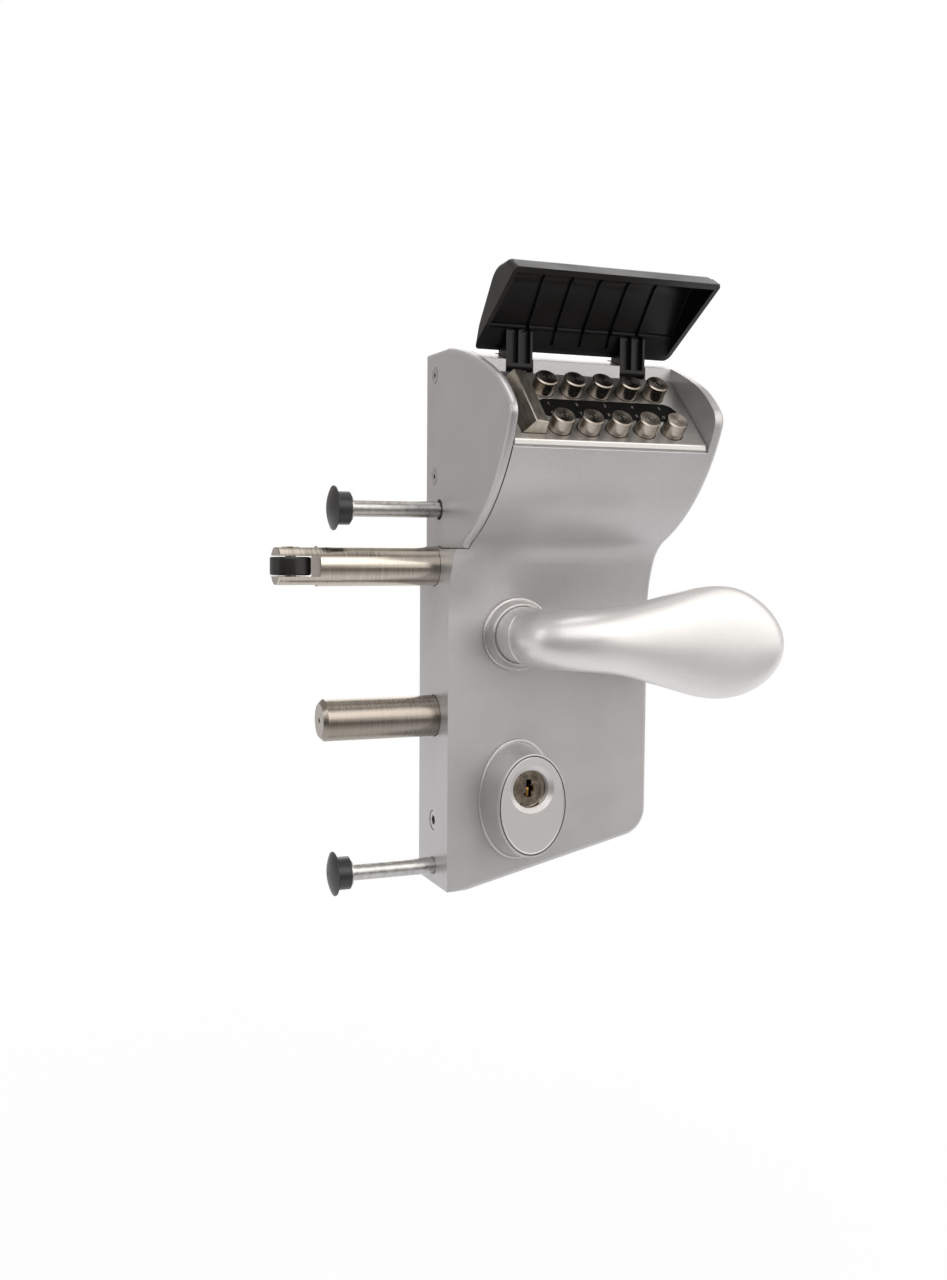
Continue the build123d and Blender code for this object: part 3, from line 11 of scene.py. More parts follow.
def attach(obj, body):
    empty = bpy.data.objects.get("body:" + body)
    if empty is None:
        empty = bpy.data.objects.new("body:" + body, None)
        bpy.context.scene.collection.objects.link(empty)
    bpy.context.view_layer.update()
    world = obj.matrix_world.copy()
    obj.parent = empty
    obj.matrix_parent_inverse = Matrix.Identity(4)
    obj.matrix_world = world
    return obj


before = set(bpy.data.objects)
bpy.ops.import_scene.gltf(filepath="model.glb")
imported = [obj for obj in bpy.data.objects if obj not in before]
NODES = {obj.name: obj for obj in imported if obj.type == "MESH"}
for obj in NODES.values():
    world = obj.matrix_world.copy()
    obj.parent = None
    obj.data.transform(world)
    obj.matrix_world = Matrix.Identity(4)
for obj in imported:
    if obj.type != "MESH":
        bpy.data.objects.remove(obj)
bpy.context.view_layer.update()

log = logging.getLogger("gate_lock")
logging.basicConfig(level=logging.INFO, format="%(name)s: %(message)s")

MM = 0.001
WHITE = "#ffffff"
QUARTER_TURN = radians(90)

# A noise texture may give 0 to 1, but hardly ever leaves this range.
NOISE_LOW = 0.3
NOISE_HIGH = 0.7

Tree = bpy.types.NodeTree
Socket = bpy.types.NodeSocket
Links = dict[str | int, object]
Stops = tuple[tuple[float, str], ...]


class Axis(Enum):
    """Direction across which a steel's lines are close together."""

    X = 0
    Y = 1
    Z = 2


class Mould(Enum):
    """How a mould's wall was finished, as the strength of the relief that it leaves on the plastic."""

    POLISHED = 0.04
    ERODED = 0.16


def linear(colour: str) -> tuple[float, float, float, float]:
    """Turns an sRGB hex colour to linear light.

    Args:
        colour: The colour as "#rrggbb".

    Returns:
        Red, green and blue in linear light, and an alpha of 1.
    """
    channels = []
    for start in (1, 3, 5):
        value = int(colour[start:start + 2], 16) / 255
        channels.append(value / 12.92 if value <= 0.04045 else ((value + 0.055) / 1.055) ** 2.4)
    return (*channels, 1.0)


def per_metre(size_mm: float) -> float:
    """Texture scale that gives a pattern of that size in millimetres."""
    return 1.0 / (size_mm * MM)


def add_node(tree: Tree, kind: str, links: Links | None = None, **settings: object) -> bpy.types.Node:
    """Adds one shader node.

    Args:
        tree: The tree that gets the node.
        kind: The node's type name.
        links: For each input, the socket that feeds it or its plain value.
        **settings: Properties of the node itself.

    Returns:
        The new node.
    """
    made = tree.nodes.new(kind)
    for name, value in settings.items():
        setattr(made, name, value)
    for name, source in (links or {}).items():
        if isinstance(source, Socket):
            tree.links.new(source, made.inputs[name])
        else:
            made.inputs[name].default_value = source
    return made


def blend_stops(tree: Tree, pattern: Socket, stops: Stops) -> Socket:
    """Turns a pattern into colours.

    Args:
        tree: The tree that gets the colours.
        pattern: The socket that gives 0 to 1.
        stops: Values of the pattern in rising order, each with its colour.

    Returns:
        The colour socket.
    """
    node = add_node(tree, "ShaderNodeValToRGB", {"Fac": pattern})
    elements = node.color_ramp.elements
    while len(elements) < len(stops):
        elements.new(1.0)
    for element, (position, colour) in zip(elements, stops):
        element.position = position
        element.color = linear(colour)
    return node.outputs["Color"]


def new_material(name: str) -> tuple[bpy.types.Material, Tree, Socket]:
    """Makes an empty node material.

    Args:
        name: The material's name.

    Returns:
        The material, its node tree, and the Object coordinate socket.
    """
    material = bpy.data.materials.new(name)
    material.use_nodes = True
    tree = material.node_tree
    tree.nodes.clear()
    place = add_node(tree, "ShaderNodeTexCoord").outputs["Object"]
    return material, tree, place


@dataclass(frozen=True)
class Swing:
    """How far a finish follows its patterns.

    The darker colour is pure up to shade_at and the lighter one from colour_at on. The roughness falls by
    smoother and rises by rougher. A relief at full strength is bump_mm deep.
    """

    shade_at: float
    colour_at: float
    smoother: float
    rougher: float
    bump_mm: float


@dataclass(frozen=True)
class Finish:
    """What every finish has: a name, a lighter and a darker colour, and a roughness."""

    name: str
    colour: str
    shade: str
    _: KW_ONLY
    roughness: float
    swing: ClassVar[Swing]

    def tint(self, tree: Tree, pattern: Socket) -> Socket:
        """Blends the darker and the lighter colour by a pattern.

        Args:
            tree: The material's node tree.
            pattern: The pattern.

        Returns:
            The colour socket.
        """
        stops = ((self.swing.shade_at, self.shade), (self.swing.colour_at, self.colour))
        return blend_stops(tree, pattern, stops)

    def lay(
        self, tree: Tree, colour: Socket, wear: Socket, height: Socket, relief: float, links: Links,
    ) -> None:
        """Lays the finish on the surface: colour, drifting roughness, relief and shader.

        Args:
            tree: The material's node tree.
            colour: The finish's colour.
            wear: Pattern that the roughness follows.
            height: Pattern that the relief follows.
            relief: Strength of the relief, 0 to 1.
            links: Further inputs of the shader, as sockets or plain values.
        """
        rough = add_node(
            tree, "ShaderNodeMapRange",
            {"Value": wear, "From Min": NOISE_LOW, "From Max": NOISE_HIGH,
             "To Min": self.roughness - self.swing.smoother,
             "To Max": self.roughness + self.swing.rougher},
        )
        bump = add_node(
            tree, "ShaderNodeBump",
            {"Height": height, "Strength": relief, "Distance": self.swing.bump_mm * MM},
        )
        shader = add_node(
            tree, "ShaderNodeBsdfPrincipled",
            {"Base Color": colour, "Roughness": rough.outputs["Result"],
             "Normal": bump.outputs["Normal"], **links},
        )
        add_node(tree, "ShaderNodeOutputMaterial", {"Surface": shader.outputs[0]})


@dataclass(frozen=True)
class Joint:
    """Upright joint between two castings, drawn as a dark line painted into the coat: the joint's shade and
    the dirt it gathers.
    """

    x_mm: float
    above_mm: float
    half_mm: float = 0.3
    colour: str = "#4c4a49"

    def darken(self, tree: Tree, place: Socket, colour: Socket) -> Socket:
        """Paints the joint's shade and dirt into a coat's colour as a dark line.

        Args:
            tree: The material's node tree.
            place: The Object coordinate socket.
            colour: The coat's colour.

        Returns:
            The colour with the dark line.
        """
        parts = add_node(tree, "ShaderNodeSeparateXYZ", {0: place})
        line = add_node(
            tree, "ShaderNodeMath",
            {0: parts.outputs[0], 1: self.x_mm * MM, 2: self.half_mm * MM}, operation="COMPARE",
        )
        above = add_node(
            tree, "ShaderNodeMath",
            {0: parts.outputs[2], 1: self.above_mm * MM}, operation="GREATER_THAN",
        )
        both = add_node(
            tree, "ShaderNodeMath", {0: line.outputs[0], 1: above.outputs[0]}, operation="MULTIPLY",
        )
        drawn = add_node(
            tree, "ShaderNodeMix",
            {0: both.outputs[0], 6: colour, 7: linear(self.colour)}, data_type="RGBA",
        )
        return drawn.outputs[2]


@dataclass(frozen=True)
class PowderCoat(Finish):
    """Silver polyester powder coat, baked on a casting: satin, faintly pebbled, with a glint of flake.

    The real metal flake is some 0.03 mm wide, too fine to show in the render, so it is drawn 0.5 mm wide.
    """

    _: KW_ONLY
    roughness: float = 0.4
    metallic: float = 0.45
    flake_mm: float = 0.5
    flake_share: float = 0.7
    pebble_mm: float = 1.3
    cloud_mm: float = 22.0
    relief: float = 0.05
    lacquer: float = 0.25
    lacquer_roughness: float = 0.3
    joint: Joint | None = None
    swing: ClassVar[Swing] = Swing(
        shade_at=0.36, colour_at=0.62, smoother=0.03, rougher=0.03, bump_mm=0.1,
    )

    def build(self) -> bpy.types.Material:
        """Builds the material.

        Returns:
            The material, ready to paint on.
        """
        material, tree, place = new_material(self.name)
        flake, cloud, pebble = (
            add_node(
                tree, "ShaderNodeTexNoise", {"Vector": place, "Scale": per_metre(size), "Detail": detail},
            ).outputs["Fac"]
            for size, detail in ((self.flake_mm, 2.0), (self.cloud_mm, 3.0), (self.pebble_mm, 2.0))
        )
        clouds = add_node(
            tree, "ShaderNodeMath", {0: cloud, 1: 1.0 - self.flake_share}, operation="MULTIPLY",
        )
        mixed = add_node(
            tree, "ShaderNodeMath",
            {0: flake, 1: self.flake_share, 2: clouds.outputs[0]}, operation="MULTIPLY_ADD",
        )
        colour = self.tint(tree, mixed.outputs[0])
        if self.joint:
            colour = self.joint.darken(tree, place, colour)
        self.lay(tree, colour, cloud, pebble, self.relief, {
            "Metallic": self.metallic, "Coat Weight": self.lacquer,
            "Coat Roughness": self.lacquer_roughness,
        })
        return material


@dataclass(frozen=True)
class GroundSteel(Finish):
    """Stainless steel with the straight hair lines of a belt, or the rings of a lathe round a bar.

    Real lines are 0.05 mm apart or less, too fine to show in the render, so they are drawn much coarser,
    line_mm apart.
    """

    across: tuple[Axis, ...]
    _: KW_ONLY
    roughness: float = 0.3
    line_mm: float = 0.35
    run_mm: float = 30.0
    tilt_deg: float = 0.0
    relief: float = 0.12
    anisotropy: float = 0.4
    swing: ClassVar[Swing] = Swing(
        shade_at=0.3, colour_at=0.7, smoother=0.05, rougher=0.07, bump_mm=0.05,
    )

    def build(self) -> bpy.types.Material:
        """Builds the material.

        Returns:
            The material, ready to paint on.
        """
        material, tree, place = new_material(self.name)
        turned = add_node(
            tree, "ShaderNodeMapping", {"Vector": place, "Rotation": (radians(self.tilt_deg), 0.0, 0.0)},
        )
        scales = [per_metre(self.run_mm)] * len(Axis)
        for axis in self.across:
            scales[axis.value] = per_metre(self.line_mm)
        stretched = add_node(
            tree, "ShaderNodeMapping", {"Vector": turned.outputs[0], "Scale": tuple(scales)},
        )
        lines = add_node(
            tree, "ShaderNodeTexNoise", {"Vector": stretched.outputs[0], "Scale": 1.0, "Detail": 4.0},
        ).outputs["Fac"]
        self.lay(tree, self.tint(tree, lines), lines, lines, self.relief, {
            "Metallic": 1.0, "Anisotropic": self.anisotropy,
        })
        return material


@dataclass(frozen=True)
class TurnedSteel(Finish):
    """Stainless buttons faced on a lathe: rings so fine that their gloss fans out from the middle, and a
    highlight painted into the colour that fans out the same way.

    The material knows each button's axis from the first one and the pitch. Real rings are about 0.05 mm
    apart, too fine to show in the render, so they are drawn 0.4 mm apart.
    """

    start_mm: tuple[float, float]
    pitch_mm: tuple[float, float]
    origin_mm: tuple[float, float, float]
    slope_deg: float
    _: KW_ONLY
    roughness: float = 0.25
    ring_mm: float = 0.4
    relief: float = 0.08
    anisotropy: float = 0.75
    # Painted highlight: bright fans per turn, the angle that turns them, and their share of the colour's
    # brightness.
    fans: int = 2
    fan_deg: float = 35.0
    fan_share: float = 0.55
    swing: ClassVar[Swing] = Swing(
        shade_at=0.1, colour_at=0.85, smoother=0.03, rougher=0.04, bump_mm=0.05,
    )

    def local_place(self, tree: Tree, place: Socket) -> tuple[Socket, Socket, Socket]:
        """Finds the place on a button, from its own axis.

        Args:
            tree: The material's node tree.
            place: The Object coordinate socket.

        Returns:
            Across, along and above the sheet, in millimetres.
        """
        moved = add_node(
            tree, "ShaderNodeVectorMath",
            {0: place, 1: tuple(-value * MM for value in self.origin_mm)}, operation="ADD",
        )
        level = add_node(
            tree, "ShaderNodeMapping",
            {"Vector": moved.outputs[0], "Rotation": (-radians(self.slope_deg), 0.0, 0.0),
             "Scale": (1.0 / MM,) * 3},
        )
        parts = add_node(tree, "ShaderNodeSeparateXYZ", {0: level.outputs[0]})
        local = []
        for socket, start, pitch in zip(parts.outputs, self.start_mm, self.pitch_mm):
            shifted = add_node(tree, "ShaderNodeMath", {0: socket, 1: start}, operation="SUBTRACT")
            wrapped = add_node(
                tree, "ShaderNodeMath",
                {0: shifted.outputs[0], 1: pitch / 2, 2: -pitch / 2}, operation="WRAP",
            )
            local.append(wrapped.outputs[0])
        return (*local, parts.outputs[2])

    def sheen(self, tree: Tree, across: Socket, along: Socket, rings: Socket) -> Socket:
        """Paints a highlight into the rings' brightness that fans out from the button's middle.

        Args:
            tree: The material's node tree.
            across: Place across the sheet.
            along: Place along the sheet.
            rings: The pattern of rings.

        Returns:
            The brightness, 0 to 1.
        """
        angle = add_node(tree, "ShaderNodeMath", {0: along, 1: across}, operation="ARCTAN2")
        turns = add_node(
            tree, "ShaderNodeMath",
            {0: angle.outputs[0], 1: float(self.fans), 2: -self.fans * radians(self.fan_deg)},
            operation="MULTIPLY_ADD",
        )
        fan = add_node(tree, "ShaderNodeMath", {0: turns.outputs[0]}, operation="COSINE")
        spread = add_node(
            tree, "ShaderNodeMapRange",
            {"Value": fan.outputs[0], "From Min": -1.0, "From Max": 1.0,
             "To Min": 0.0, "To Max": self.fan_share},
        )
        bright = add_node(
            tree, "ShaderNodeMath",
            {0: rings, 1: 1.0 - self.fan_share, 2: spread.outputs["Result"]}, operation="MULTIPLY_ADD",
        )
        return bright.outputs[0]

    def build(self) -> bpy.types.Material:
        """Builds the material, with a tangent that runs round each button's axis.

        Returns:
            The material, ready to paint on.
        """
        material, tree, place = new_material(self.name)
        across, along, above = self.local_place(tree, place)
        flat = add_node(tree, "ShaderNodeCombineXYZ", {0: across, 1: along})
        radius = add_node(tree, "ShaderNodeVectorMath", {0: flat.outputs[0]}, operation="LENGTH")
        steps = add_node(
            tree, "ShaderNodeMath",
            {0: radius.outputs["Value"], 1: 1.0 / self.ring_mm}, operation="MULTIPLY",
        )
        cell = add_node(tree, "ShaderNodeCombineXYZ", {0: steps.outputs[0], 2: above})
        rings = add_node(
            tree, "ShaderNodeTexNoise",
            {"Vector": cell.outputs[0], "Scale": 1.0, "Detail": 4.0, "Roughness": 0.6},
        ).outputs["Fac"]
        back = add_node(tree, "ShaderNodeMath", {0: along, 1: -1.0}, operation="MULTIPLY")
        round_about = add_node(tree, "ShaderNodeCombineXYZ", {0: back.outputs[0], 1: across})
        tangent = add_node(
            tree, "ShaderNodeMapping",
            {"Vector": round_about.outputs[0], "Rotation": (radians(self.slope_deg), 0.0, 0.0)},
            vector_type="VECTOR",
        )
        # The colour carries the painted highlight fans.
        colour = self.tint(tree, self.sheen(tree, across, along, rings))
        self.lay(tree, colour, rings, rings, self.relief, {
            "Metallic": 1.0, "Anisotropic": self.anisotropy, "Tangent": tangent.outputs[0],
        })
        return material


@dataclass(frozen=True)
class MouldedPlastic(Finish):
    """Plastic from a steel mould, mostly black: dim highlights, broad where the mould was eroded."""

    mould: Mould
    _: KW_ONLY
    roughness: float = 0.45
    grain_mm: float = 0.8
    drift_mm: float = 18.0
    gloss: float = 0.5
    ior: float = 1.53
    swing: ClassVar[Swing] = Swing(
        shade_at=0.35, colour_at=0.65, smoother=0.04, rougher=0.05, bump_mm=0.1,
    )

    def build(self) -> bpy.types.Material:
        """Builds the material.

        Returns:
            The material, ready to paint on.
        """
        material, tree, place = new_material(self.name)
        grain = add_node(
            tree, "ShaderNodeTexNoise",
            {"Vector": place, "Scale": per_metre(self.grain_mm), "Detail": 3.0, "Roughness": 0.6},
        ).outputs["Fac"]
        drift = add_node(
            tree, "ShaderNodeTexNoise",
            {"Vector": place, "Scale": per_metre(self.drift_mm), "Detail": 2.0},
        ).outputs["Fac"]
        self.lay(tree, self.tint(tree, drift), drift, grain, self.mould.value, {
            "IOR": self.ior, "Specular IOR Level": self.gloss,
        })
        return material


@dataclass(frozen=True)
class PlatedMetal(Finish):
    """Cast or machined metal under zinc, nickel or no plating: bright or dull, and slightly mottled."""

    _: KW_ONLY
    roughness: float = 0.32
    mottle_mm: float = 2.5
    relief: float = 0.06
    swing: ClassVar[Swing] = Swing(
        shade_at=0.32, colour_at=0.68, smoother=0.06, rougher=0.06, bump_mm=0.1,
    )

    def build(self) -> bpy.types.Material:
        """Builds the material.

        Returns:
            The material, ready to paint on.
        """
        material, tree, place = new_material(self.name)
        mottle = add_node(
            tree, "ShaderNodeTexNoise",
            {"Vector": place, "Scale": per_metre(self.mottle_mm), "Detail": 4.0, "Roughness": 0.6},
        ).outputs["Fac"]
        self.lay(tree, self.tint(tree, mottle), mottle, mottle, self.relief, {"Metallic": 1.0})
        return material


def paint(material: bpy.types.Material, *names: str) -> None:
    """Gives CAD nodes a material.

    Args:
        material: The material for every face of the nodes.
        *names: The nodes' names.
    """
    for name in names:
        mesh = NODES[name].data
        mesh.materials.clear()
        mesh.materials.append(material)
        log.info("%s is finished in %s", name, material.name)


def deselect() -> None:
    """Leaves nothing selected, so that an operator acts on one piece."""
    bpy.ops.object.select_all(action="DESELECT")


def settle(
    piece: bpy.types.Object, name: str, material: bpy.types.Material, body: str,
) -> None:
    """Applies a new piece's place to its mesh, names and dresses it, and lets it ride.

    Args:
        piece: The finished object.
        name: The piece's name.
        material: Its material.
        body: The body that it moves with.
    """
    deselect()
    piece.select_set(True)
    bpy.context.view_layer.objects.active = piece
    bpy.ops.object.transform_apply(location=True, rotation=True, scale=True)
    piece.name = name
    piece.data.name = name
    piece.data.materials.clear()
    piece.data.materials.append(material)
    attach(piece, body)
    log.info("%s rides on %s", name, body)


@dataclass
class LockCase:
    """Housing, back plate, side cap, and the screws and slides that hold or run in them."""

    # Silver powder coat on cast zinc: an even satin grey, with a dark line of painted shade and dirt in the
    # side cap's joint.
    coat: PowderCoat = PowderCoat(
        "silver_powder_coat", "#c0bebe", "#b2b0b0", roughness=0.36, metallic=0.52,
        joint=Joint(x_mm=6.0, above_mm=41.2),
    )
    # Zinc-plated steel, as screws are bought: bright, with a slight mottle.
    zinc: PlatedMetal = PlatedMetal("bright_zinc_plate", "#c9c8c6", "#aaa8a6")

    def dress(self) -> None:
        """Finishes the castings and their screws."""
        paint(self.coat.build(), "housing", "housing_back", "side_cap")
        paint(
            self.zinc.build(), "back_screws", "side_cap_screws", "deck_screws", "handle_screws",
            "cylinder_screw", "fixing_bolts", "spindle", "latch_tail", "deadbolt_tail",
        )


@dataclass
class Keypad:
    """Sloping sheet with ten turned buttons, the wedge bar and the strip of digits."""

    slope_deg: float = 45.0
    origin_mm: tuple[float, float, float] = (0.0, -56.1, 111.9)
    columns: int = 5
    first_column: float = 30.5
    column_pitch: float = 14.0
    row_gap: float = 25.8
    digit_height: float = 1.9
    digit_share: float = 0.7
    digit_rows: tuple[float, float] = (-9.4, -15.6)
    digit_lift: float = 0.2
    digit_depth: float = 0.02
    digit_steps: int = 4
    # Belt-ground sheet: hair lines along its width spread the light up and down, so it looks soft and pale.
    sheet: GroundSteel = GroundSteel(
        "ground_stainless_sheet", "#dad8d6", "#c7c5c2", (Axis.Y, Axis.Z), roughness=0.4, relief=0.04,
    )
    # Cast and blasted stainless steel: warmer and duller than the sheet, with a coarse, short texture.
    bar: GroundSteel = GroundSteel(
        "cast_stainless_bar", "#c6bfb4", "#ada599", (Axis.X,), roughness=0.36, line_mm=0.9, run_mm=6.0,
        tilt_deg=-45.0, relief=0.1, anisotropy=0.1,
    )
    # Screen-printed ink: a dry grey with no shine.
    ink: MouldedPlastic = MouldedPlastic("grey_ink", "#8f8e8b", "#7f7e7b", Mould.POLISHED, roughness=0.6)
    # Matt label film: deep black, which hardly reflects the studio.
    label: MouldedPlastic = MouldedPlastic(
        "matt_black_label", "#10100f", "#0b0b0a", Mould.POLISHED, roughness=0.6, gloss=0.1,
    )
    # Nylon, moulded: plain dark grey, seen only through the gaps round the buttons.
    guide: MouldedPlastic = MouldedPlastic("black_nylon_guide", "#1f1e1e", "#181717", Mould.POLISHED)
    # Drawn wire and pins: bright, slightly blue steel.
    spring: PlatedMetal = PlatedMetal("drawn_spring_wire", "#b4b5b7", "#8d8f92")
    # Zinc die casting without a coat: dull grey.
    cast: PlatedMetal = PlatedMetal("die_cast_zinc", "#9a9b9e", "#7f8184", roughness=0.5)

    @property
    def count(self) -> int:
        """Number of buttons, each with its digit."""
        return self.columns * len(self.digit_rows)

    def deck_point(self, x: float, rise: float, lift: float) -> Vector:
        """Finds a point on the sloping sheet.

        Args:
            x: Place across the lock, in millimetres.
            rise: Way up the slope from the sheet's origin, in millimetres.
            lift: Height above the sheet, in millimetres.

        Returns:
            The point, in metres.
        """
        slope = radians(self.slope_deg)
        y = self.origin_mm[1] + rise * cos(slope) - lift * sin(slope)
        z = self.origin_mm[2] + rise * sin(slope) + lift * cos(slope)
        return Vector((x, y, z)) * MM

    def build_digits(self) -> None:
        """Sets one plain number beside each button: 1 to 5 in the upper row, then 6 to 9 and 0."""
        ink = self.ink.build()
        for number in range(self.count):
            row, column = divmod((number - 1) % self.count, self.columns)
            deselect()
            bpy.ops.object.text_add(location=(0, 0, 0))
            text = bpy.context.object
            text.data.body = str(number)
            text.data.align_x = "CENTER"
            text.data.align_y = "CENTER"
            text.data.size = self.digit_height * MM / self.digit_share
            text.data.extrude = self.digit_depth * MM
            text.data.resolution_u = self.digit_steps
            bpy.ops.object.convert(target="MESH")
            digit = bpy.context.object
            x = self.first_column + column * self.column_pitch
            digit.location = self.deck_point(x, self.digit_rows[row], self.digit_lift + self.digit_depth)
            digit.rotation_euler = (radians(self.slope_deg), 0, 0)
            settle(digit, f"digit_{number}", ink, "lock_body")

    def dress(self) -> None:
        """Finishes the sheet, the buttons and what guides them."""
        # Turned stainless steel: warm, with dark and bright fans painted in as a fixed highlight, and gloss
        # that turns with the light.
        turned = TurnedSteel(
            "turned_stainless", "#c3bab0", "#7b7268", start_mm=(self.first_column, 0.0),
            pitch_mm=(self.column_pitch, self.row_gap), origin_mm=self.origin_mm, slope_deg=self.slope_deg,
        )
        paint(turned.build(), *[f"button_{number}" for number in range(self.count)])
        paint(self.sheet.build(), "keypad_deck")
        paint(self.bar.build(), "reset_bar")
        paint(self.label.build(), "digit_strip")
        paint(self.guide.build(), "button_guide")
        paint(
            self.spring.build(),
            "button_springs", "reset_springs", "follower_spring", "latch_spring", "cover_pins",
        )
        paint(self.cast.build(), "code_chamber", "follower", "cylinder_cam")


@dataclass
class RainCover:
    """Flip-up cover of black plastic with a grooved inside."""

    # Glass-filled nylon from a spark-eroded mould: a fine grain, so that the light on it is broad and dim.
    plastic: MouldedPlastic = MouldedPlastic(
        "spark_eroded_black_nylon", "#121011", "#0b0a0a", Mould.ERODED, roughness=0.34, gloss=0.3,
    )

    def dress(self) -> None:
        """Finishes the cover."""
        paint(self.plastic.build(), "cover")


@dataclass
class LeverSet:
    """Lever handles on both sides and their bearing rings."""

    # Fine silver lacquer on a ground casting: smoother than the housing, with long, soft highlights.
    coat: PowderCoat = PowderCoat(
        "satin_silver_lacquer", "#dfdddc", "#d6d4d3", roughness=0.34, metallic=0.55, relief=0.015,
    )
    # The same kind of coat on a turned ring: more metal in it, so that the steps show bright edges.
    ring: PowderCoat = PowderCoat(
        "silver_coat_ring", "#cbc9c8", "#bdbbba", roughness=0.27, metallic=0.75,
    )

    def dress(self) -> None:
        """Finishes the levers and rings."""
        paint(self.coat.build(), "handle_front", "handle_rear")
        paint(self.ring.build(), "handle_rose_front", "handle_rose_rear")


@dataclass
class Bolts:
    """Roller latch, deadbolt, fixing bolts and their caps."""

    # Finely turned stainless bar: a sharp bright band along it, broken by faint rings.
    fine: GroundSteel = GroundSteel(
        "turned_stainless_bar", "#c6beb4", "#b1a99e", (Axis.X,), roughness=0.2, run_mm=12.0, relief=0.03,
        anisotropy=0.2,
    )
    # Drawn stainless bar: a wider band of light, and the turned bar's colour darkened as painted shade.
    dull: GroundSteel = GroundSteel(
        "drawn_stainless_painted_shade", "#a39b92", "#8f877e", (Axis.X,), roughness=0.26, run_mm=40.0,
        relief=0.012, anisotropy=0.2,
    )
    # Acetal, machined: smooth and waxy black.
    roller: MouldedPlastic = MouldedPlastic(
        "black_acetal", "#161514", "#0f0e0d", Mould.POLISHED, roughness=0.33,
    )
    # Soft plastic caps, moulded: dark grey with a mild shine on the dome.
    cap: MouldedPlastic = MouldedPlastic(
        "black_cap_plastic", "#2a292a", "#222122", Mould.POLISHED, roughness=0.38,
    )

    def dress(self) -> None:
        """Finishes the latch, deadbolt and caps."""
        paint(self.fine.build(), "latch_bolt", "roller_pin")
        # The deadbolt's darker colour is painted shade.
        paint(self.dull.build(), "deadbolt", "deadbolt_screw")
        paint(self.roller.build(), "latch_roller")
        paint(self.cap.build(), "bolt_caps")


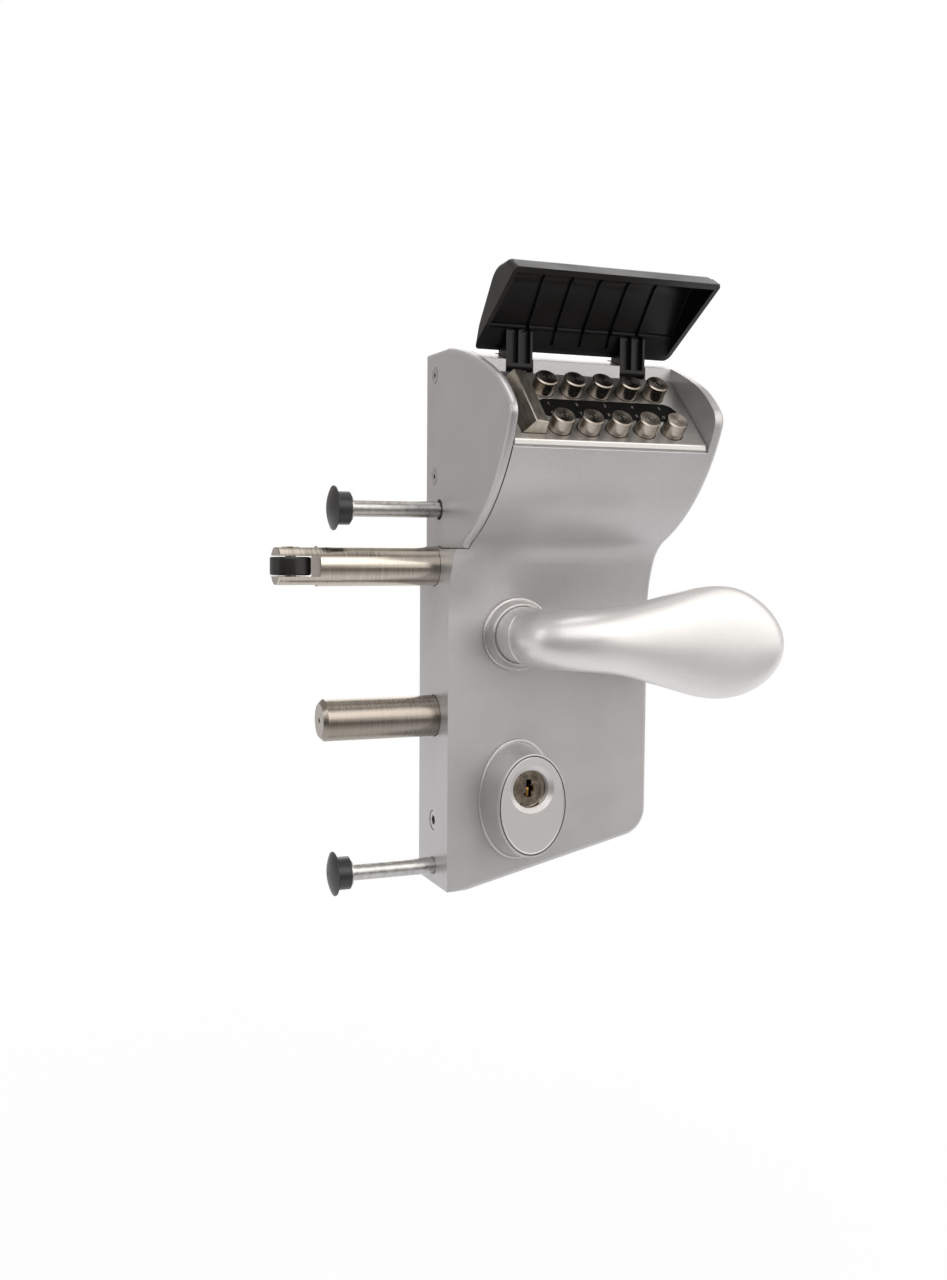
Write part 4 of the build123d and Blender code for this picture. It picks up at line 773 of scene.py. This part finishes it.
@dataclass
class Cylinder:
    """Profile cylinder with its collars and oval plates.

    A profile gives inset from the plate's edge and lift above its face, in millimetres.
    """

    axis_mm: tuple[float, float] = (35.0, -72.0)
    pin_radius: float = 1.2
    pin_reach: float = 4.6
    pin_depths: tuple[float, ...] = (-33.6, -29.8, -26.0, -22.2)
    pin_sides: int = 20
    tip_share: float = 0.6
    tip_steps: int = 3
    tip_smooth_deg: float = 40.0
    keyway_half: float = 4.2
    plate_half: tuple[float, float] = (16.8, 23.5)
    plate_centre: tuple[float, float] = (35.5, -79.75)
    plate_face: float = 40.0
    ring_sides: int = 144
    ring_smooth_deg: float = 30.0
    weld: float = 0.002
    rim_profile: tuple[tuple[float, float], ...] = (
        (0.2, -0.05), (0.55, 0.16), (0.8, 0.16), (1.15, -0.05),
    )
    # Section of the dark ring of painted shade in the gap.
    gap_profile: tuple[tuple[float, float], ...] = (
        (-0.18, -0.05), (-0.18, 0.03), (0.28, 0.03), (0.28, -0.05),
    )
    # Dark ring laid in the joint round the plate: painted shade and dust, a dark, dry line.
    gap: MouldedPlastic = MouldedPlastic(
        "dust_and_painted_shade_in_gap", "#2b2827", "#211f1e", Mould.POLISHED, roughness=0.8, gloss=0.1,
    )
    # Nickel on the cylinder's body: warm and bright.
    nickel: PlatedMetal = PlatedMetal("satin_nickel", "#b3a898", "#8f8475", roughness=0.2)
    # Nickel on the plug: browner, its colour darker than the body's as painted shade of the recess, and
    # dark where the rim shades it.
    plug: PlatedMetal = PlatedMetal("nickel_plug_painted_shade", "#aa9d8f", "#7f7367", roughness=0.2)
    # Bare brass pins: a small yellow glint in the keyway.
    brass: PlatedMetal = PlatedMetal("brass_pin", "#c9a15a", "#a67c3a", roughness=0.3)
    # Silver coat on the turned collar: smoother than the housing, with a lit upper edge.
    coat: PowderCoat = PowderCoat(
        "silver_coat_collar", "#c4c2c1", "#b7b5b4", roughness=0.29, metallic=0.65,
    )
    # Satin lacquer on the flat plate: paler than the collar, and even.
    plate: PowderCoat = PowderCoat(
        "satin_silver_plate", "#d0cdcc", "#c7c4c3", roughness=0.33, metallic=0.55, relief=0.02,
    )

    def elliptic_ring(self, profile: tuple[tuple[float, float], ...]) -> bpy.types.Object:
        """Models an oval ring by pulling an oval loop round a closed profile.

        Args:
            profile: The ring's section, as a profile of this class.

        Returns:
            The ring, lying flat at the origin.
        """
        deselect()
        bpy.ops.mesh.primitive_circle_add(vertices=self.ring_sides, radius=1.0)
        ring = bpy.context.object
        bpy.ops.object.mode_set(mode="EDIT")
        bpy.ops.mesh.select_all(action="SELECT")
        middle = (0.0, 0.0, 0.0)
        size = (1.0, 1.0)
        level = 0.0
        for step, (inset, lift) in enumerate((*profile, profile[0])):
            if step:
                bpy.ops.mesh.extrude_region_move()
            wanted = tuple((half - inset) * MM for half in self.plate_half)
            bpy.ops.transform.resize(
                value=(wanted[0] / size[0], wanted[1] / size[1], 1.0), center_override=middle,
            )
            bpy.ops.transform.translate(value=(0.0, 0.0, lift * MM - level))
            size = wanted
            level = lift * MM
        bpy.ops.mesh.select_all(action="SELECT")
        bpy.ops.mesh.remove_doubles(threshold=self.weld * MM)
        bpy.ops.mesh.normals_make_consistent(inside=False)
        bpy.ops.object.mode_set(mode="OBJECT")
        bpy.ops.object.shade_smooth_by_angle(angle=radians(self.ring_smooth_deg))
        return ring

    def build_rims(self) -> None:
        """Lays the bevelled rim round both oval plates, and a dark ring of painted shade and dust in the
        gap.
        """
        plate = self.plate.build()
        gap = self.gap.build()
        for end, side in (("front", -1), ("rear", 1)):
            for part, profile, material in (
                ("rim", self.rim_profile, plate), ("gap", self.gap_profile, gap),
            ):
                ring = self.elliptic_ring(profile)
                x, z = self.plate_centre
                ring.location = Vector((x, side * self.plate_face, z)) * MM
                ring.rotation_euler = (-side * QUARTER_TURN, 0, 0)
                settle(ring, f"plate_{part}_{end}", material, "lock_body")

    def build_pin(self, depth: float) -> bpy.types.Object:
        """Models one round-tipped pin that stands up from the bottom of a keyway.

        Args:
            depth: Place of the pin along the cylinder, from its middle.

        Returns:
            The pin.
        """
        deselect()
        middle = self.axis_mm[1] - self.keyway_half + self.pin_reach / 2
        bpy.ops.mesh.primitive_cylinder_add(
            vertices=self.pin_sides, radius=self.pin_radius * MM, depth=self.pin_reach * MM,
            location=(self.axis_mm[0] * MM, depth * MM, middle * MM),
        )
        pin = bpy.context.object
        bevel = pin.modifiers.new("tip", "BEVEL")
        bevel.width = self.pin_radius * self.tip_share * MM
        bevel.segments = self.tip_steps
        bpy.ops.object.modifier_apply(modifier=bevel.name)
        bpy.ops.object.shade_smooth_by_angle(angle=radians(self.tip_smooth_deg))
        return pin

    def build_pins(self) -> None:
        """Sets a row of pins into each keyway, joined to one piece."""
        brass = self.brass.build()
        for end, side in (("front", 1), ("rear", -1)):
            pins = [self.build_pin(side * depth) for depth in self.pin_depths]
            deselect()
            for pin in pins:
                pin.select_set(True)
            bpy.context.view_layer.objects.active = pins[0]
            bpy.ops.object.join()
            settle(bpy.context.object, f"keyway_pins_{end}", brass, "key_plug")

    def dress(self) -> None:
        """Finishes the cylinder and its collars."""
        paint(self.nickel.build(), "cylinder_body")
        paint(self.plug.build(), "cylinder_plug_front", "cylinder_plug_rear")
        paint(self.coat.build(), "cylinder_rose_front", "cylinder_rose_rear")
        paint(self.plate.build(), "cylinder_insert_front", "cylinder_insert_rear")


@dataclass(frozen=True)
class Lamp:
    """Soft box: where it hangs, its width and height in metres, its watts and colour."""

    name: str
    place_mm: tuple[float, float, float]
    size_m: tuple[float, float]
    watts: float
    colour: str = WHITE


@dataclass
class Studio:
    """Camera, lamps, world and floor."""

    image_size: tuple[int, int] = (947, 1280)
    focal_px: float = 1290.0
    centre_px: tuple[float, float] = (460.1, 633.7)
    eye_mm: tuple[float, float, float] = (-215.3, -586.3, 42.6)
    yaw_deg: float = 21.34
    pitch_deg: float = -3.94
    roll_deg: float = 0.36
    sensor_mm: float = 36.0
    near_mm: float = 10.0
    floor_mm: float = -330.0
    floor_size_m: float = 8.0
    floor_colour: str = "#f2f2f2"
    floor_edge: str = "#4f4943"
    # The floor turns to plain white between these distances from the lock, and keeps this share near it.
    fade_mm: tuple[float, float] = (200.0, 700.0)
    near_white: float = 0.9
    # Gloss sees the dark edge of the floor only on the camera's side, from the first y to the second.
    floor_turn_m: tuple[float, float] = (0.0, -0.3)
    backdrop: str = "#bdbab7"
    # Gloss sees the backdrop behind the lock and the studio in front, turning between these y directions.
    wall_turn: tuple[float, float] = (0.1, -0.5)
    # The studio from straight below to straight above: pale floor, dark horizon, pale walls, dark ceiling.
    surround: Stops = (
        (0.0, "#f4f2f0"), (0.42, "#e6e2de"), (0.46, "#4f4943"), (0.54, "#5e5852"), (0.64, "#e6e3e0"),
        (0.8, "#f4f2f0"), (0.93, "#86807a"), (1.0, "#6a645f"),
    )
    world_level: float = 0.34
    target_mm: tuple[float, float, float] = (20.0, 0.0, 10.0)
    lamps: tuple[Lamp, ...] = (
        Lamp("key", (1200.0, -1050.0, 750.0), size_m=(2.6, 2.2), watts=21.0, colour="#fffdfa"),
        Lamp("fill", (-350.0, -1450.0, 900.0), size_m=(2.0, 1.3), watts=9.0, colour="#fffdfb"),
        Lamp("strip", (-1600.0, -50.0, 560.0), size_m=(0.22, 0.9), watts=2.3),
        Lamp("top", (-200.0, 0.0, 1500.0), size_m=(1.2, 1.0), watts=8.0, colour="#fffefd"),
        Lamp("back", (600.0, 1300.0, 700.0), size_m=(1.2, 1.2), watts=8.0),
        Lamp("bounce", (300.0, -300.0, -325.0), size_m=(1.0, 0.8), watts=0.5),
    )

    def build_camera(self) -> None:
        """Puts the camera where the photograph was taken from."""
        yaw, pitch, roll = radians(self.yaw_deg), radians(self.pitch_deg), radians(self.roll_deg)
        ahead = Vector((sin(yaw) * cos(pitch), cos(yaw) * cos(pitch), sin(pitch)))
        level = Vector((cos(yaw), -sin(yaw), 0.0))
        upright = level.cross(ahead)
        right = cos(roll) * level + sin(roll) * upright
        up = -sin(roll) * level + cos(roll) * upright
        data = bpy.data.cameras.new("camera")
        width, height = self.image_size
        longest = max(width, height)
        data.sensor_width = self.sensor_mm
        data.lens = self.focal_px / longest * self.sensor_mm
        data.shift_x = (width / 2 - self.centre_px[0]) / longest
        data.shift_y = (self.centre_px[1] - height / 2) / longest
        data.clip_start = self.near_mm * MM
        camera = bpy.data.objects.new("camera", data)
        bpy.context.scene.collection.objects.link(camera)
        turn = Matrix((right, up, -ahead)).transposed().to_4x4()
        camera.matrix_world = Matrix.Translation(Vector(self.eye_mm) * MM) @ turn
        bpy.context.scene.camera = camera

    def build_lamps(self) -> None:
        """Hangs the soft boxes, all turned to the lock."""
        target = Vector(self.target_mm) * MM
        for lamp in self.lamps:
            data = bpy.data.lights.new(f"lamp_{lamp.name}", "AREA")
            data.shape = "RECTANGLE"
            data.size, data.size_y = lamp.size_m
            data.energy = lamp.watts
            data.color = linear(lamp.colour)[:3]
            box = bpy.data.objects.new(f"lamp_{lamp.name}", data)
            box.location = Vector(lamp.place_mm) * MM
            box.rotation_euler = (target - box.location).to_track_quat("-Z", "Y").to_euler()
            bpy.context.scene.collection.objects.link(box)
            log.info("lamp %s hangs", lamp.name)

    def gloss_view(self, tree: Tree) -> Socket:
        """Draws what gloss sees round the lock, for the world.

        Args:
            tree: The world's node tree.

        Returns:
            The colour socket.
        """
        ahead = add_node(tree, "ShaderNodeTexCoord").outputs["Generated"]
        parts = add_node(tree, "ShaderNodeSeparateXYZ", {0: ahead})
        height = add_node(tree, "ShaderNodeMapRange", {"Value": parts.outputs[2], "From Min": -1.0})
        walls = blend_stops(tree, height.outputs["Result"], self.surround)
        side = add_node(
            tree, "ShaderNodeMapRange",
            {"Value": parts.outputs[1], "From Min": self.wall_turn[0], "From Max": self.wall_turn[1]},
        )
        shown = add_node(
            tree, "ShaderNodeMix",
            {0: side.outputs["Result"], 6: linear(self.backdrop), 7: walls}, data_type="RGBA",
        )
        return shown.outputs[2]

    def build_world(self) -> None:
        """Makes the surround: white to the camera, a studio to gloss, and dim as a light."""
        world = bpy.data.worlds.new("studio")
        bpy.context.scene.world = world
        world.use_nodes = True
        tree = world.node_tree
        tree.nodes.clear()
        path = add_node(tree, "ShaderNodeLightPath")
        seen = add_node(
            tree, "ShaderNodeMath",
            {0: path.outputs["Is Camera Ray"], 1: path.outputs["Is Transmission Ray"]},
            operation="MAXIMUM",
        )
        dim, gloss, white = (
            add_node(tree, "ShaderNodeBackground", {"Color": colour, "Strength": level}).outputs[0]
            for colour, level in (
                (linear(WHITE), self.world_level), (self.gloss_view(tree), 1.0), (linear(WHITE), 1.0),
            )
        )
        lit = add_node(tree, "ShaderNodeMixShader", {0: path.outputs["Is Glossy Ray"], 1: dim, 2: gloss})
        mixed = add_node(tree, "ShaderNodeMixShader", {0: seen.outputs[0], 1: lit.outputs[0], 2: white})
        add_node(tree, "ShaderNodeOutputWorld", {"Surface": mixed.outputs[0]})

    def floor_finish(self) -> bpy.types.Material:
        """Builds the matt floor, which takes the lock's shadow and fades into the white surround.

        Returns:
            The material.
        """
        material, tree, place = new_material("pale_floor")
        path = add_node(tree, "ShaderNodeLightPath")
        distance = add_node(tree, "ShaderNodeVectorMath", {0: place}, operation="LENGTH")
        far = add_node(
            tree, "ShaderNodeMapRange",
            {"Value": distance.outputs["Value"],
             "From Min": self.fade_mm[0] * MM, "From Max": self.fade_mm[1] * MM},
        )
        share = add_node(
            tree, "ShaderNodeMapRange",
            {"Value": far.outputs["Result"], "To Min": self.near_white, "To Max": 1.0},
        )
        seen = add_node(
            tree, "ShaderNodeMath",
            {0: path.outputs["Is Camera Ray"], 1: share.outputs["Result"]}, operation="MULTIPLY",
        )
        parts = add_node(tree, "ShaderNodeSeparateXYZ", {0: place})
        side = add_node(
            tree, "ShaderNodeMapRange",
            {"Value": parts.outputs[1],
             "From Min": self.floor_turn_m[0], "From Max": self.floor_turn_m[1]},
        )
        dark = add_node(
            tree, "ShaderNodeMath",
            {0: far.outputs["Result"], 1: side.outputs["Result"]}, operation="MULTIPLY",
        )
        edge = add_node(
            tree, "ShaderNodeMix",
            {0: dark.outputs[0], 6: linear(WHITE), 7: linear(self.floor_edge)}, data_type="RGBA",
        )
        matt = add_node(tree, "ShaderNodeBsdfDiffuse", {"Color": linear(self.floor_colour)})
        white = add_node(tree, "ShaderNodeEmission", {"Color": linear(WHITE), "Strength": 1.0})
        shown = add_node(tree, "ShaderNodeEmission", {"Color": edge.outputs[2], "Strength": 1.0})
        gloss = add_node(
            tree, "ShaderNodeMixShader",
            {0: path.outputs["Is Glossy Ray"], 1: matt.outputs[0], 2: shown.outputs[0]},
        )
        mixed = add_node(
            tree, "ShaderNodeMixShader", {0: seen.outputs[0], 1: gloss.outputs[0], 2: white.outputs[0]},
        )
        add_node(tree, "ShaderNodeOutputMaterial", {"Surface": mixed.outputs[0]})
        return material

    def build_floor(self) -> None:
        """Lays the pale floor."""
        deselect()
        bpy.ops.mesh.primitive_plane_add(size=self.floor_size_m, location=(0, 0, self.floor_mm * MM))
        floor = bpy.context.object
        floor.name = "floor"
        floor.data.materials.append(self.floor_finish())

    def build(self) -> None:
        """Sets up the whole studio."""
        bpy.context.scene.view_settings.view_transform = "Standard"
        self.build_camera()
        self.build_lamps()
        self.build_world()
        self.build_floor()


def main() -> None:
    """Builds and dresses the lock, then sets up the studio."""
    LockCase().dress()
    keypad = Keypad()
    keypad.dress()
    keypad.build_digits()
    RainCover().dress()
    LeverSet().dress()
    Bolts().dress()
    cylinder = Cylinder()
    cylinder.dress()
    cylinder.build_pins()
    cylinder.build_rims()
    Studio().build()


if __name__ == "__main__":
    main()
